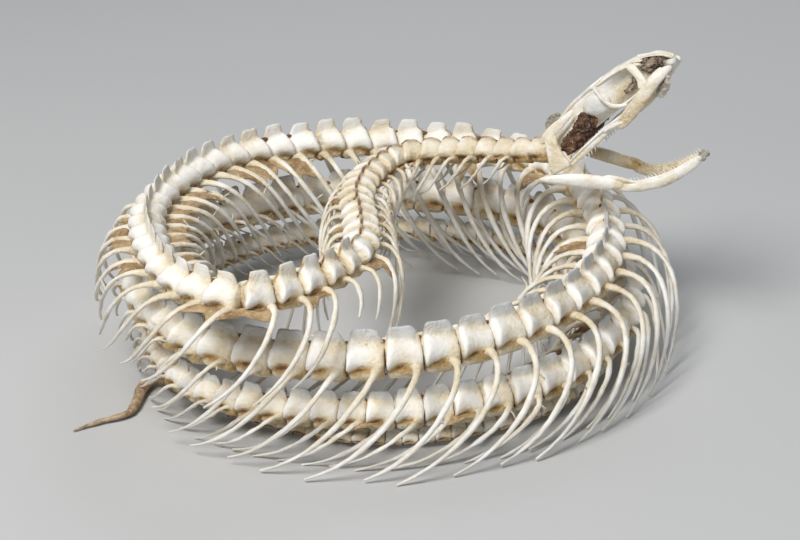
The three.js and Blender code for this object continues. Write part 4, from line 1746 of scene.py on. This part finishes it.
@dataclass
class Skull:
    """The head above the mouth, with the bones that hang from it."""

    bone: bpy.types.Material
    flesh: bpy.types.Material
    flap: bpy.types.Material
    tree: GrowthTree
    stations: tuple[SkullStation, ...] = (
        SkullStation(0.3, 1.1, 0.6, 1.4, 1.8, -0.3, 1.0, -1.4),
        SkullStation(1.5, 1.9, 1.1, 1.9, 2.6, -0.2, 1.5, -1.7),
        SkullStation(3.2, 2.5, 1.7, 1.7, 3.2, -0.2, 1.7, -1.8),
        SkullStation(5.6, 3.0, 2.4, 1.4, 3.3, -0.1, 1.7, -1.9),
        SkullStation(8.0, 3.45, 2.9, 1.7, 3.4, 0.2, 1.6, -1.8),
        SkullStation(10.4, 3.8, 3.3, 2.4, 3.9, 0.3, 1.5, -1.7),
        SkullStation(12.2, 3.95, 3.5, 2.9, 3.8, 0.4, 1.2, -1.6),
        SkullStation(13.3, 4.1, 3.6, 2.9, 2.7, 0.7, 0.9, -1.4),
        SkullStation(14.4, 4.2, 3.7, 2.6, 1.6, 1.2, 0.6, -1.2),
        SkullStation(16.4, 4.15, 3.6, 2.35, 1.15, 1.4, 0.5, -1.1),
        SkullStation(18.4, 3.85, 3.35, 2.45, 1.15, 1.2, 0.5, -1.1),
        SkullStation(19.8, 3.5, 3.0, 2.6, 1.3, 1.0, 0.6, -1.1),
        SkullStation(20.8, 3.2, 2.7, 2.3, 1.1, 0.8, 0.6, -1.1),
    )
    knob: Bar = Bar((
        (-0.9, 0.0, -0.3, 0.35, 0.35), (-0.4, 0.0, -0.3, 0.6, 0.55), (0.5, 0.0, -0.2, 0.7, 0.6),
    ))
    nasal: Bar = Bar((
        (19.6, 0.6, 3.3, 0.55, 0.22), (21.0, 0.75, 3.0, 0.7, 0.2), (22.4, 0.75, 2.45, 0.65, 0.2),
        (23.6, 0.55, 1.7, 0.55, 0.24), (24.4, 0.4, 0.8, 0.5, 0.28), (24.7, 0.3, 0.2, 0.3, 0.25),
    ))
    snout: Bar = Bar((
        (22.9, 0.0, 0.0, 0.5, 0.45), (23.5, 0.0, 0.0, 1.15, 0.75), (24.2, 0.0, -0.15, 1.35, 0.8),
        (24.8, 0.0, -0.3, 0.9, 0.5),
    ), corners=12)
    septum: Bar = Bar((
        (20.0, 0.0, 0.9, 0.22, 1.5), (22.0, 0.0, 0.7, 0.2, 1.3), (23.6, 0.0, 0.3, 0.22, 0.8),
    ))
    prefrontal: Bar = Bar((
        (18.6, 2.1, 3.5, 0.3, 0.5), (19.2, 2.7, 2.9, 0.3, 0.75), (19.6, 3.2, 2.0, 0.28, 0.7),
        (19.9, 3.6, 1.0, 0.28, 0.65), (19.9, 3.95, 0.0, 0.35, 0.9), (19.6, 4.2, -0.8, 0.35, 1.1),
    ), upright=(1.0, 0.0, 0.0))
    lacrimal_roof: Bar = Bar((
        (19.0, 1.7, 3.6, 0.5, 0.2), (20.2, 1.9, 3.1, 0.5, 0.2), (21.2, 1.8, 2.6, 0.3, 0.18),
    ))
    postorbital: Bar = Bar((
        (12.0, 2.5, 3.7, 0.35, 0.5), (12.6, 3.5, 2.9, 0.36, 0.42), (12.9, 4.2, 1.5, 0.32, 0.38),
        (13.5, 4.5, 0.1, 0.3, 0.36), (14.7, 4.65, -0.9, 0.3, 0.36), (16.3, 4.7, -1.3, 0.2, 0.25),
    ))
    brow: Bar = Bar((
        (12.6, 2.8, 3.55, 0.3, 0.25), (14.6, 2.55, 3.75, 0.3, 0.25), (17.0, 2.45, 3.6, 0.3, 0.25),
        (19.2, 2.5, 3.15, 0.3, 0.25),
    ))
    maxilla: Bar = Bar((
        (24.4, 2.0, -0.6, 0.3, 0.3), (23.9, 2.9, -0.4, 0.45, 0.6), (22.7, 3.7, -0.5, 0.5, 0.9),
        (20.9, 4.2, -0.9, 0.6, 1.05), (18.8, 4.5, -1.7, 0.55, 1.1), (16.2, 4.6, -2.6, 0.5, 1.05),
        (14.0, 4.5, -3.1, 0.4, 0.95), (12.4, 4.4, -3.6, 0.3, 0.5),
    ), squareness=0.1)
    lip: Bar = Bar((
        (23.6, 3.1, 0.3, 0.3, 0.25), (21.6, 4.0, 0.1, 0.32, 0.3), (19.4, 4.45, -0.7, 0.32, 0.3),
        (17.0, 4.7, -1.5, 0.3, 0.3), (14.6, 4.7, -2.2, 0.28, 0.3), (12.9, 4.6, -2.9, 0.25, 0.25),
    ))
    pterygoid: Bar = Bar((
        (1.9, 5.3, -4.0, 0.25, 0.4), (4.0, 5.0, -3.7, 0.35, 0.7), (7.0, 4.4, -3.3, 0.4, 0.7),
        (10.2, 3.7, -2.9, 0.4, 0.6), (13.0, 3.0, -2.5, 0.35, 0.45), (15.2, 2.6, -2.2, 0.3, 0.4),
    ))
    pterygoid_edge: Bar = Bar((
        (2.4, 5.5, -3.6, 0.2, 0.2), (5.0, 5.1, -3.1, 0.25, 0.22), (8.0, 4.5, -2.7, 0.25, 0.22),
        (11.0, 4.0, -2.3, 0.28, 0.25), (13.4, 4.3, -2.3, 0.3, 0.25), (15.4, 4.5, -2.3, 0.2, 0.2),
    ))
    palatine: Bar = Bar((
        (14.8, 2.6, -2.2, 0.3, 0.35), (17.0, 2.4, -1.9, 0.5, 0.3), (19.0, 2.2, -1.7, 0.6, 0.3),
        (21.2, 1.8, -1.5, 0.3, 0.3),
    ))
    orbit_shelf: Bar = Bar((
        (13.2, 2.4, -0.9, 0.5, 0.25), (15.0, 2.7, -1.2, 0.9, 0.22), (17.5, 2.9, -1.0, 0.9, 0.2),
        (19.4, 3.0, -0.6, 0.6, 0.2),
    ))
    ectopterygoid: Bar = Bar((
        (9.2, 3.8, -2.8, 0.35, 0.35), (11.0, 4.2, -2.7, 0.4, 0.35), (12.8, 4.5, -2.9, 0.5, 0.4),
        (14.2, 4.5, -3.2, 0.4, 0.35),
    ))
    supratemporal: Bar = Bar((
        (7.4, 3.0, 2.6, 0.2, 0.3), (5.4, 3.5, 2.2, 0.3, 0.7), (3.2, 4.0, 1.9, 0.32, 0.95),
        (1.4, 4.6, 1.6, 0.32, 0.8), (0.3, 4.9, 1.3, 0.25, 0.4),
    ))
    quadrate: Bar = Bar((
        (2.8, 4.5, 2.1, 0.2, 0.5), (2.5, 4.85, 1.4, 0.36, 0.95), (2.1, 5.2, 0.4, 0.4, 1.0),
        (1.8, 5.5, -0.9, 0.38, 1.05), (1.5, 5.75, -2.2, 0.42, 1.45), (1.2, 5.9, -3.3, 0.55, 2.0),
        (1.1, 6.0, -4.0, 0.5, 1.7),
    ), upright=(1.0, 0.0, 0.0), squareness=0.3)
    quadrate_ridge: Bar = Bar((
        (1.7, 5.2, 1.5, 0.25, 0.3), (1.2, 5.6, 0.2, 0.28, 0.32), (0.6, 5.95, -1.6, 0.3, 0.35),
        (-0.4, 6.2, -3.2, 0.3, 0.4),
    ), upright=(1.0, 0.0, 0.0))
    brain_bulge: Bar = Bar((
        (8.6, 2.8, 1.2, 0.4, 0.8), (9.8, 3.0, 1.3, 0.85, 1.7), (11.3, 3.0, 1.2, 1.0, 1.9),
        (12.6, 2.8, 0.9, 0.8, 1.5), (13.4, 2.4, 0.8, 0.35, 0.7),
    ))
    parietal_crest: Bar = Bar((
        (2.6, 1.0, 2.2, 0.2, 0.25), (5.0, 0.7, 3.0, 0.25, 0.3), (8.0, 1.0, 3.5, 0.25, 0.3),
        (11.0, 2.2, 3.85, 0.25, 0.3), (12.4, 2.9, 3.75, 0.25, 0.3),
    ))
    fossa_tissue: Bar = Bar((
        (10.0, 3.0, 0.9, 0.2, 0.6), (9.0, 3.2, 0.2, 0.4, 1.7), (7.4, 3.3, -0.5, 0.5, 1.9),
        (5.6, 3.5, -1.2, 0.5, 1.5), (3.8, 3.8, -1.5, 0.5, 1.6), (2.4, 4.2, -1.9, 0.3, 1.0),
    ))
    nose_tissue: Bar = Bar((
        (19.9, 1.2, 2.0, 0.4, 0.9), (21.0, 1.5, 1.7, 0.7, 1.2), (22.3, 1.5, 1.1, 0.8, 1.1),
        (23.3, 1.2, 0.6, 0.5, 0.6),
    ))
    orbit_tissue: Bar = Bar((
        (19.1, 1.8, 1.5, 0.3, 0.5), (18.5, 1.5, 1.1, 0.35, 0.6), (17.4, 1.25, 0.6, 0.2, 0.35),
        (16.0, 1.2, 0.2, 0.25, 0.5), (15.2, 1.3, 0.0, 0.2, 0.3),
    ))
    snout_flap: Bar = Bar((
        (23.5, 3.2, -0.6, 0.12, 0.6), (22.7, 3.3, -1.5, 0.1, 1.25), (21.8, 3.4, -2.3, 0.1, 1.25),
        (21.0, 3.5, -3.0, 0.1, 0.85), (20.5, 3.5, -3.5, 0.08, 0.3),
    ), upright=(1.0, 0.0, 0.3))
    rear_flap: Bar = Bar((
        (1.8, 3.4, 3.0, 0.1, 0.4), (0.4, 3.8, 2.9, 0.14, 0.9), (-1.2, 4.2, 2.6, 0.12, 1.0),
        (-2.3, 4.5, 2.0, 0.08, 0.5),
    ))
    stain: tuple[Patch, ...] = (
        Patch((16.0, 1.2, 0.4), (3.5, 1.2, 1.4), 0.6), Patch((7.0, 3.3, 0.0), (3.5, 1.5, 1.6), 0.5),
        Patch((3.0, 2.0, -1.0), (3.0, 3.0, 1.0), 0.4), Patch((21.5, 1.0, 1.5), (1.5, 0.8, 0.8), 0.6),
    )
    thin: tuple[Patch, ...] = (
        Patch((11.4, 3.8, 1.4), (2.2, 1.5, 1.8), 0.75), Patch((16.5, 1.4, 2.4), (2.4, 1.2, 0.8), 0.4),
        Patch((24.0, 0.8, 0.2), (1.2, 1.5, 1.2), 0.5), Patch((22.0, 0.6, 2.9), (1.6, 1.2, 0.7), 0.4),
    )
    bleached: tuple[Patch, ...] = (
        Patch((21.8, 1.5, 1.3), (1.8, 1.2, 1.4), 0.85), Patch((17.2, 1.4, 0.8), (2.4, 1.2, 1.4), 0.9),
    )
    tissue_bumps: tuple[tuple[float, float], ...] = ((0.36, 0.8), (0.18, 0.24))
    flap_bumps: tuple[float, float] = (0.22, 0.5)
    tooth_line: tuple[tuple[float, float, float], ...] = (
        (5.0, 4.75, -4.2), (8.0, 4.15, -3.85), (11.0, 3.5, -3.3), (14.6, 2.7, -2.55),
    )

    def braincase(self) -> Surface:
        """Draws braincase and frontals.

        Returns:
            Their points and faces.
        """
        points = []
        for station in self.stations:
            half = station.half()
            points.extend(half)
            points.extend((x, -y, z) for x, y, z in reversed(half[1:-1]))
        return points, ring_faces(len(self.stations), 2 * len(half) - 2)

    def cranium(self) -> None:
        """Builds and dresses braincase, roof and snout."""
        parts = [self.braincase()]
        parts += [bar.surface(1) for bar in (self.knob, self.snout, self.septum)]
        bars = (self.nasal, self.prefrontal, self.lacrimal_roof, self.postorbital, self.brow,
                self.brain_bulge, self.parietal_crest)
        parts += [bar.surface(side) for bar in bars for side in (1, -1)]
        piece = bone_piece("cranium_bone", SKULL, parts, levels=2, roughness=0.09)
        painted(piece, SKULL, self.stain, self.thin, base=0.02)
        dressed(piece, "cranium", self.bone)

    def side_bones(self, side: Side) -> None:
        """Builds and dresses the bones that hang from one side of the cranium.

        Args:
            side: Left or right.
        """
        groups = (
            ("maxilla", (self.maxilla, self.lip), Patch((17.0, 4.4, -3.2), (6.0, 1.0, 1.2), 0.45), 0.2),
            ("pterygoid", (self.pterygoid, self.pterygoid_edge, self.palatine, self.ectopterygoid,
                           self.orbit_shelf), Patch((6.0, 4.6, -4.0), (5.0, 1.0, 0.8), 0.3), 0.1),
            ("supratemporal", (self.supratemporal,), Patch((2.0, 4.4, 1.8), (2.0, 1.0, 0.8), 0.2), 0.15),
            ("quadrate", (self.quadrate, self.quadrate_ridge),
             Patch((1.6, 5.8, -2.4), (1.4, 1.0, 2.0), 0.3), 0.3),
        )
        for label, bars, patch, base in groups:
            surfaces = [bar.surface(side.value) for bar in bars]
            piece = bone_piece(f"{label}_{side.word}_bone", SKULL, surfaces)
            painted(piece, SKULL, (patch,), base=base)
            dressed(piece, f"{label}_{side.word}", self.bone)

    def tissue(self) -> None:
        """Builds and dresses the dried flesh left in the hollows."""
        for side in Side:
            hollows = (self.fossa_tissue, self.nose_tissue, self.orbit_tissue)
            surfaces = [bar.surface(side.value) for bar in hollows]
            piece = bone_piece(f"head_tissue_{side.word}", SKULL, surfaces, levels=3, roughness=0.0)
            for height, pitch in self.tissue_bumps:
                weathered(piece, height, pitch)
            painted(piece, SKULL, (), self.bleached)
            dressed(piece, "cranium", self.flesh)
            flap = self.rear_flap if side is Side.LEFT else self.snout_flap
            scrap = bone_piece(f"head_flap_{side.word}", SKULL, [flap.surface(side.value)], 3, 0.0)
            weathered(scrap, *self.flap_bumps)
            dressed(scrap, "cranium", self.flap)

    def teeth(self) -> None:
        """Sets the small teeth along the underside of the pterygoids."""
        for side in Side:
            row = TeethRow(self.tooth_line, count=15, size=0.62, down=True)
            row.build(f"pterygoid_{side.word}_teeth", SKULL, side, self.tree,
                      f"pterygoid_{side.word}", "skull_bone", self.bone)

    def build(self) -> None:
        """Builds the whole upper head."""
        self.cranium()
        for side in Side:
            self.side_bones(side)
        self.tissue()
        self.teeth()


@dataclass(frozen=True)
class ToothShape:
    """A back-curved, pointed tooth, one unit tall."""

    name: str = "tooth"
    corners: int = 6
    rings: tuple[tuple[float, float, float], ...] = (
        (0.10, -0.35, 0.26), (0.0, 0.2, 0.22), (-0.22, 0.6, 0.15), (-0.60, 0.95, 0.03),
    )
    stain: float = 0.05
    thin: float = 0.15

    def template(self) -> bpy.types.Object:
        """Builds the tooth.

        Returns:
            An object that stands on Z and leans to -X.
        """
        points = []
        for lean, height, girth in self.rings:
            for corner in range(self.corners):
                angle = 2 * math.pi * corner / self.corners
                points.append((lean + girth * math.cos(angle), girth * math.sin(angle), height))
        mesh = bpy.data.meshes.new(self.name)
        mesh.from_pydata(points, [], ring_faces(len(self.rings), self.corners))
        point_layer(mesh, "stain", [self.stain] * len(points))
        point_layer(mesh, "thin", [self.thin] * len(points))
        return bpy.data.objects.new(self.name, mesh)


@dataclass(frozen=True)
class TeethRow:
    """Teeth along a line in their bone's own axes."""

    line: tuple[tuple[float, float, float], ...]
    count: int
    size: float
    down: bool = False
    age: float = 0.1
    first_at: float = 0.4
    place_scatter: float = 0.15
    size_scatter: float = 0.18
    turn_scatter: float = 0.3

    def build(self, name: str, placement: Placement, side: Side, tree: GrowthTree, node: str,
              slot: str, finish: bpy.types.Material) -> None:
        """Sets the row and dresses it.

        Args:
            name: Name of the piece.
            placement: The axes that the line is in.
            side: Left or right.
            tree: The tree that sets templates on points.
            node: The solid that carries the teeth.
            slot: Name of a material slot; not used.
            finish: The material.
        """
        kinds = bpy.data.collections.new(f"{name}_kinds")
        kinds.objects.link(ToothShape(f"{name}_kind").template())
        knots = np.array([(x, side.value * y, z) for x, y, z in self.line])
        reached = np.concatenate([[0.0], np.cumsum(np.linalg.norm(np.diff(knots, axis=0), axis=1))])
        spots = []
        for index in range(self.count):
            step = index + self.first_at + self.place_scatter * scatter(index * 3.3)
            at = reached[-1] * step / self.count
            place = [np.interp(at, reached, knots[:, axis]) for axis in range(3)]
            up = (0.0, 0.0, -1.0 if self.down else 1.0)
            axes = quaternion_of(placement.direction((1.0, 0.0, 0.0)), placement.direction(up))
            tall = self.size * (1 + self.size_scatter * scatter(index * 1.9 + side.value))
            spots.append(Spot(placement.points([place])[0], axes, (tall, tall, tall), 0, self.age))
        piece = linked(name, seed_mesh(name, spots, ()))
        tree.grow(piece, {"Templates": kinds, "Finish": finish, "Turn Scatter": self.turn_scatter})
        dressed(piece, node, finish)


@dataclass
class LowerJaw:
    """The two halves of the lower jaw, each a compound bone and a toothed dentary."""

    bone: bpy.types.Material
    scrap: bpy.types.Material
    tree: GrowthTree
    compound: Bar = Bar((
        (-3.0, 6.35, -1.3, 0.2, 0.25), (-2.0, 6.3, -1.35, 0.5, 0.6), (0.0, 6.0, -1.35, 0.75, 0.95),
        (2.6, 5.4, -1.7, 0.8, 1.2), (5.6, 4.7, -2.3, 0.75, 1.25), (8.2, 4.1, -2.9, 0.65, 1.05),
        (10.0, 3.6, -3.4, 0.35, 0.6),
    ))
    dentary: Bar = Bar((
        (8.4, 3.95, -3.6, 0.3, 0.4), (10.2, 3.45, -3.8, 0.45, 0.8), (12.6, 2.85, -3.8, 0.55, 0.95),
        (15.6, 2.1, -3.3, 0.55, 1.0), (18.6, 1.4, -2.1, 0.52, 0.95), (20.9, 0.95, -0.6, 0.45, 0.8),
        (22.1, 0.75, 0.35, 0.35, 0.5),
    ))
    chin_scrap: Bar = Bar((
        (21.0, 0.85, -0.3, 0.3, 0.5), (21.8, 0.75, 0.1, 0.42, 0.6), (22.3, 0.6, 0.35, 0.4, 0.5),
        (22.7, 0.5, 0.5, 0.15, 0.2),
    ))
    tooth_rail: Bar = Bar((
        (9.6, 3.6, -3.1, 0.2, 0.2), (12.6, 2.85, -2.95, 0.28, 0.2), (15.6, 2.1, -2.4, 0.28, 0.2),
        (18.6, 1.4, -1.25, 0.26, 0.2), (21.2, 0.95, 0.35, 0.2, 0.2),
    ))
    shelf: Bar = Bar((
        (6.8, 4.2, -1.6, 0.25, 0.3), (8.6, 3.9, -2.0, 0.3, 0.45), (10.6, 3.5, -2.7, 0.25, 0.35),
        (12.0, 3.1, -3.1, 0.2, 0.2),
    ))
    stain: tuple[Patch, ...] = (
        Patch((14.0, 2.5, -3.6), (6.0, 2.0, 1.2), 0.25), Patch((10.0, 3.6, -2.8), (1.6, 1.0, 0.8), 0.4),
    )
    thin: tuple[Patch, ...] = (Patch((22.4, 0.7, 0.6), (1.0, 1.0, 1.2), 0.9),)
    scrap_bumps: tuple[float, float] = (0.3, 0.5)
    tooth_line: tuple[tuple[float, float, float], ...] = (
        (10.4, 3.4, -2.9), (12.6, 2.85, -2.8), (15.6, 2.1, -2.25), (18.6, 1.4, -1.1), (21.4, 0.9, 0.5),
    )

    def build(self) -> None:
        """Builds and dresses both halves with their teeth."""
        for side in Side:
            bars = (self.compound, self.dentary, self.tooth_rail, self.shelf)
            surfaces = [bar.surface(side.value) for bar in bars]
            piece = bone_piece(f"mandible_{side.word}_bone", JAW, surfaces)
            painted(piece, JAW, self.stain, self.thin, base=0.5 if side is Side.LEFT else 0.0)
            dressed(piece, f"mandible_{side.word}", self.bone)
            chin = bone_piece(f"chin_scrap_{side.word}", JAW, [self.chin_scrap.surface(side.value)], 3, 0.0)
            weathered(chin, *self.scrap_bumps)
            dressed(chin, f"mandible_{side.word}", self.scrap)
            row = TeethRow(self.tooth_line, count=22, size=0.64, age=0.3 if side is Side.LEFT else 0.0)
            row.build(f"mandible_{side.word}_teeth", JAW, side, self.tree, f"mandible_{side.word}",
                      "jaw_bone", self.bone)


# ---------------------------------------------------------------- the studio


@dataclass(frozen=True)
class Lamp:
    """A soft square light: its name, place in metres, power in watts, width and colour."""

    name: str
    place: tuple[float, float, float]
    energy: float
    size: float
    colour: tuple[float, float, float]

    def build(self, target: Vector) -> None:
        """Hangs the light so that it faces the model.

        Args:
            target: The model's middle.
        """
        data = bpy.data.lights.new(self.name, "AREA")
        data.energy = self.energy
        data.size = self.size
        data.color = self.colour
        lamp = bpy.data.objects.new(self.name, data)
        lamp.location = self.place
        facing = target - Vector(self.place)
        lamp.rotation_euler = facing.to_track_quat("-Z", "Y").to_euler()
        bpy.context.scene.collection.objects.link(lamp)


@dataclass
class Studio:
    """Floor, camera and lights."""

    target: tuple[float, float, float] = (0.000216, -0.001628, 0.014)
    distance: float = 0.3
    elevation: float = 24.0
    lens: float = 87.75
    sensor: float = 36.0
    nearest: float = 0.01
    floor_half: float = 3.0
    floor_colour: Colour = (0.52, 0.53, 0.54, 1.0)
    floor_roughness: float = 0.75
    room_colour: Colour = (0.9, 0.94, 1.0, 1.0)
    room_strength: float = 0.09
    lamps: tuple[Lamp, ...] = (
        Lamp("key_light", (-0.22, -0.3, 0.5), 4.0, 0.26, (1.0, 0.98, 0.95)),
        Lamp("fill_light", (0.5, -0.45, 0.25), 0.6, 0.4, (0.93, 0.96, 1.0)),
        Lamp("back_light", (0.15, 0.5, 0.4), 1.1, 0.4, (0.96, 0.98, 1.0)),
    )

    def floor(self) -> None:
        """Lays a plain pale floor."""
        half = self.floor_half
        mesh = bpy.data.meshes.new("floor")
        mesh.from_pydata([(-half, -half, 0), (half, -half, 0), (half, half, 0), (-half, half, 0)],
                         [], [(0, 1, 2, 3)])
        floor = linked("floor", mesh)
        made = bpy.data.materials.new("pale_floor")
        made.use_nodes = True
        shader = made.node_tree.nodes["Principled BSDF"]
        shader.inputs["Base Color"].default_value = self.floor_colour
        shader.inputs["Roughness"].default_value = self.floor_roughness
        floor.data.materials.append(made)

    def camera(self) -> None:
        """Sets the camera in front, a little above."""
        tilt = math.radians(self.elevation)
        data = bpy.data.cameras.new("camera")
        data.lens = self.lens
        data.sensor_width = self.sensor
        data.clip_start = self.nearest
        camera = bpy.data.objects.new("camera", data)
        away = Vector((0, -math.cos(tilt), math.sin(tilt))) * self.distance
        camera.location = Vector(self.target) + away
        camera.rotation_euler = (math.pi / 2 - tilt, 0, 0)
        bpy.context.scene.collection.objects.link(camera)
        bpy.context.scene.camera = camera

    def room(self) -> None:
        """Fills the room with a weak, even light."""
        world = bpy.data.worlds.new("soft_room")
        world.use_nodes = True
        ground = world.node_tree.nodes["Background"]
        ground.inputs[0].default_value = self.room_colour
        ground.inputs[1].default_value = self.room_strength
        bpy.context.scene.world = world

    def build(self) -> None:
        """Sets up the whole studio."""
        self.floor()
        self.camera()
        for lamp in self.lamps:
            lamp.build(Vector(self.target))
        bpy.context.scene.view_settings.view_transform = "Standard"
        self.room()


# ---------------------------------------------------------------- the whole


BONE = BoneFinish("dry_bone")
SKULL_BONE = BoneFinish("skull_bone", cloudiness=330.0)
TAIL_SKIN = TissueFinish("dried_skin", dark=(0.24, 0.14, 0.07, 1.0), mid=(0.52, 0.40, 0.26, 1.0),
                         light=(0.72, 0.63, 0.5, 1.0))
FLESH = TissueFinish("dried_flesh")
SCRAP = TissueFinish("dried_scrap", dark=(0.3, 0.265, 0.22, 1.0), mid=(0.47, 0.44, 0.385, 1.0),
                     light=(0.68, 0.66, 0.61, 1.0), blotches=520.0)
MEMBRANE = TissueFinish("dried_membrane", dark=(0.26, 0.15, 0.06, 1.0), mid=(0.47, 0.34, 0.18, 1.0),
                        light=(0.68, 0.58, 0.42, 1.0), blotches=420.0)


def main() -> None:
    """Builds every part in order."""
    logging.basicConfig(level=logging.INFO, format="%(message)s")
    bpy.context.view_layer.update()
    Studio().build()
    finishes = (BONE, SKULL_BONE, TAIL_SKIN, FLESH, SCRAP, MEMBRANE)
    bone, skull_bone, skin, flesh, scrap, membrane = (finish.material() for finish in finishes)
    spine = Spine()
    cage = RibCage(spine)
    tree = GrowthTree("bones_on_a_path")
    Body(spine, cage, tree, bone, membrane).build()
    TailTip(spine, skin).build()
    Skull(skull_bone, flesh, scrap, tree).build()
    LowerJaw(skull_bone, scrap, tree).build()


if __name__ == "__main__":
    main()
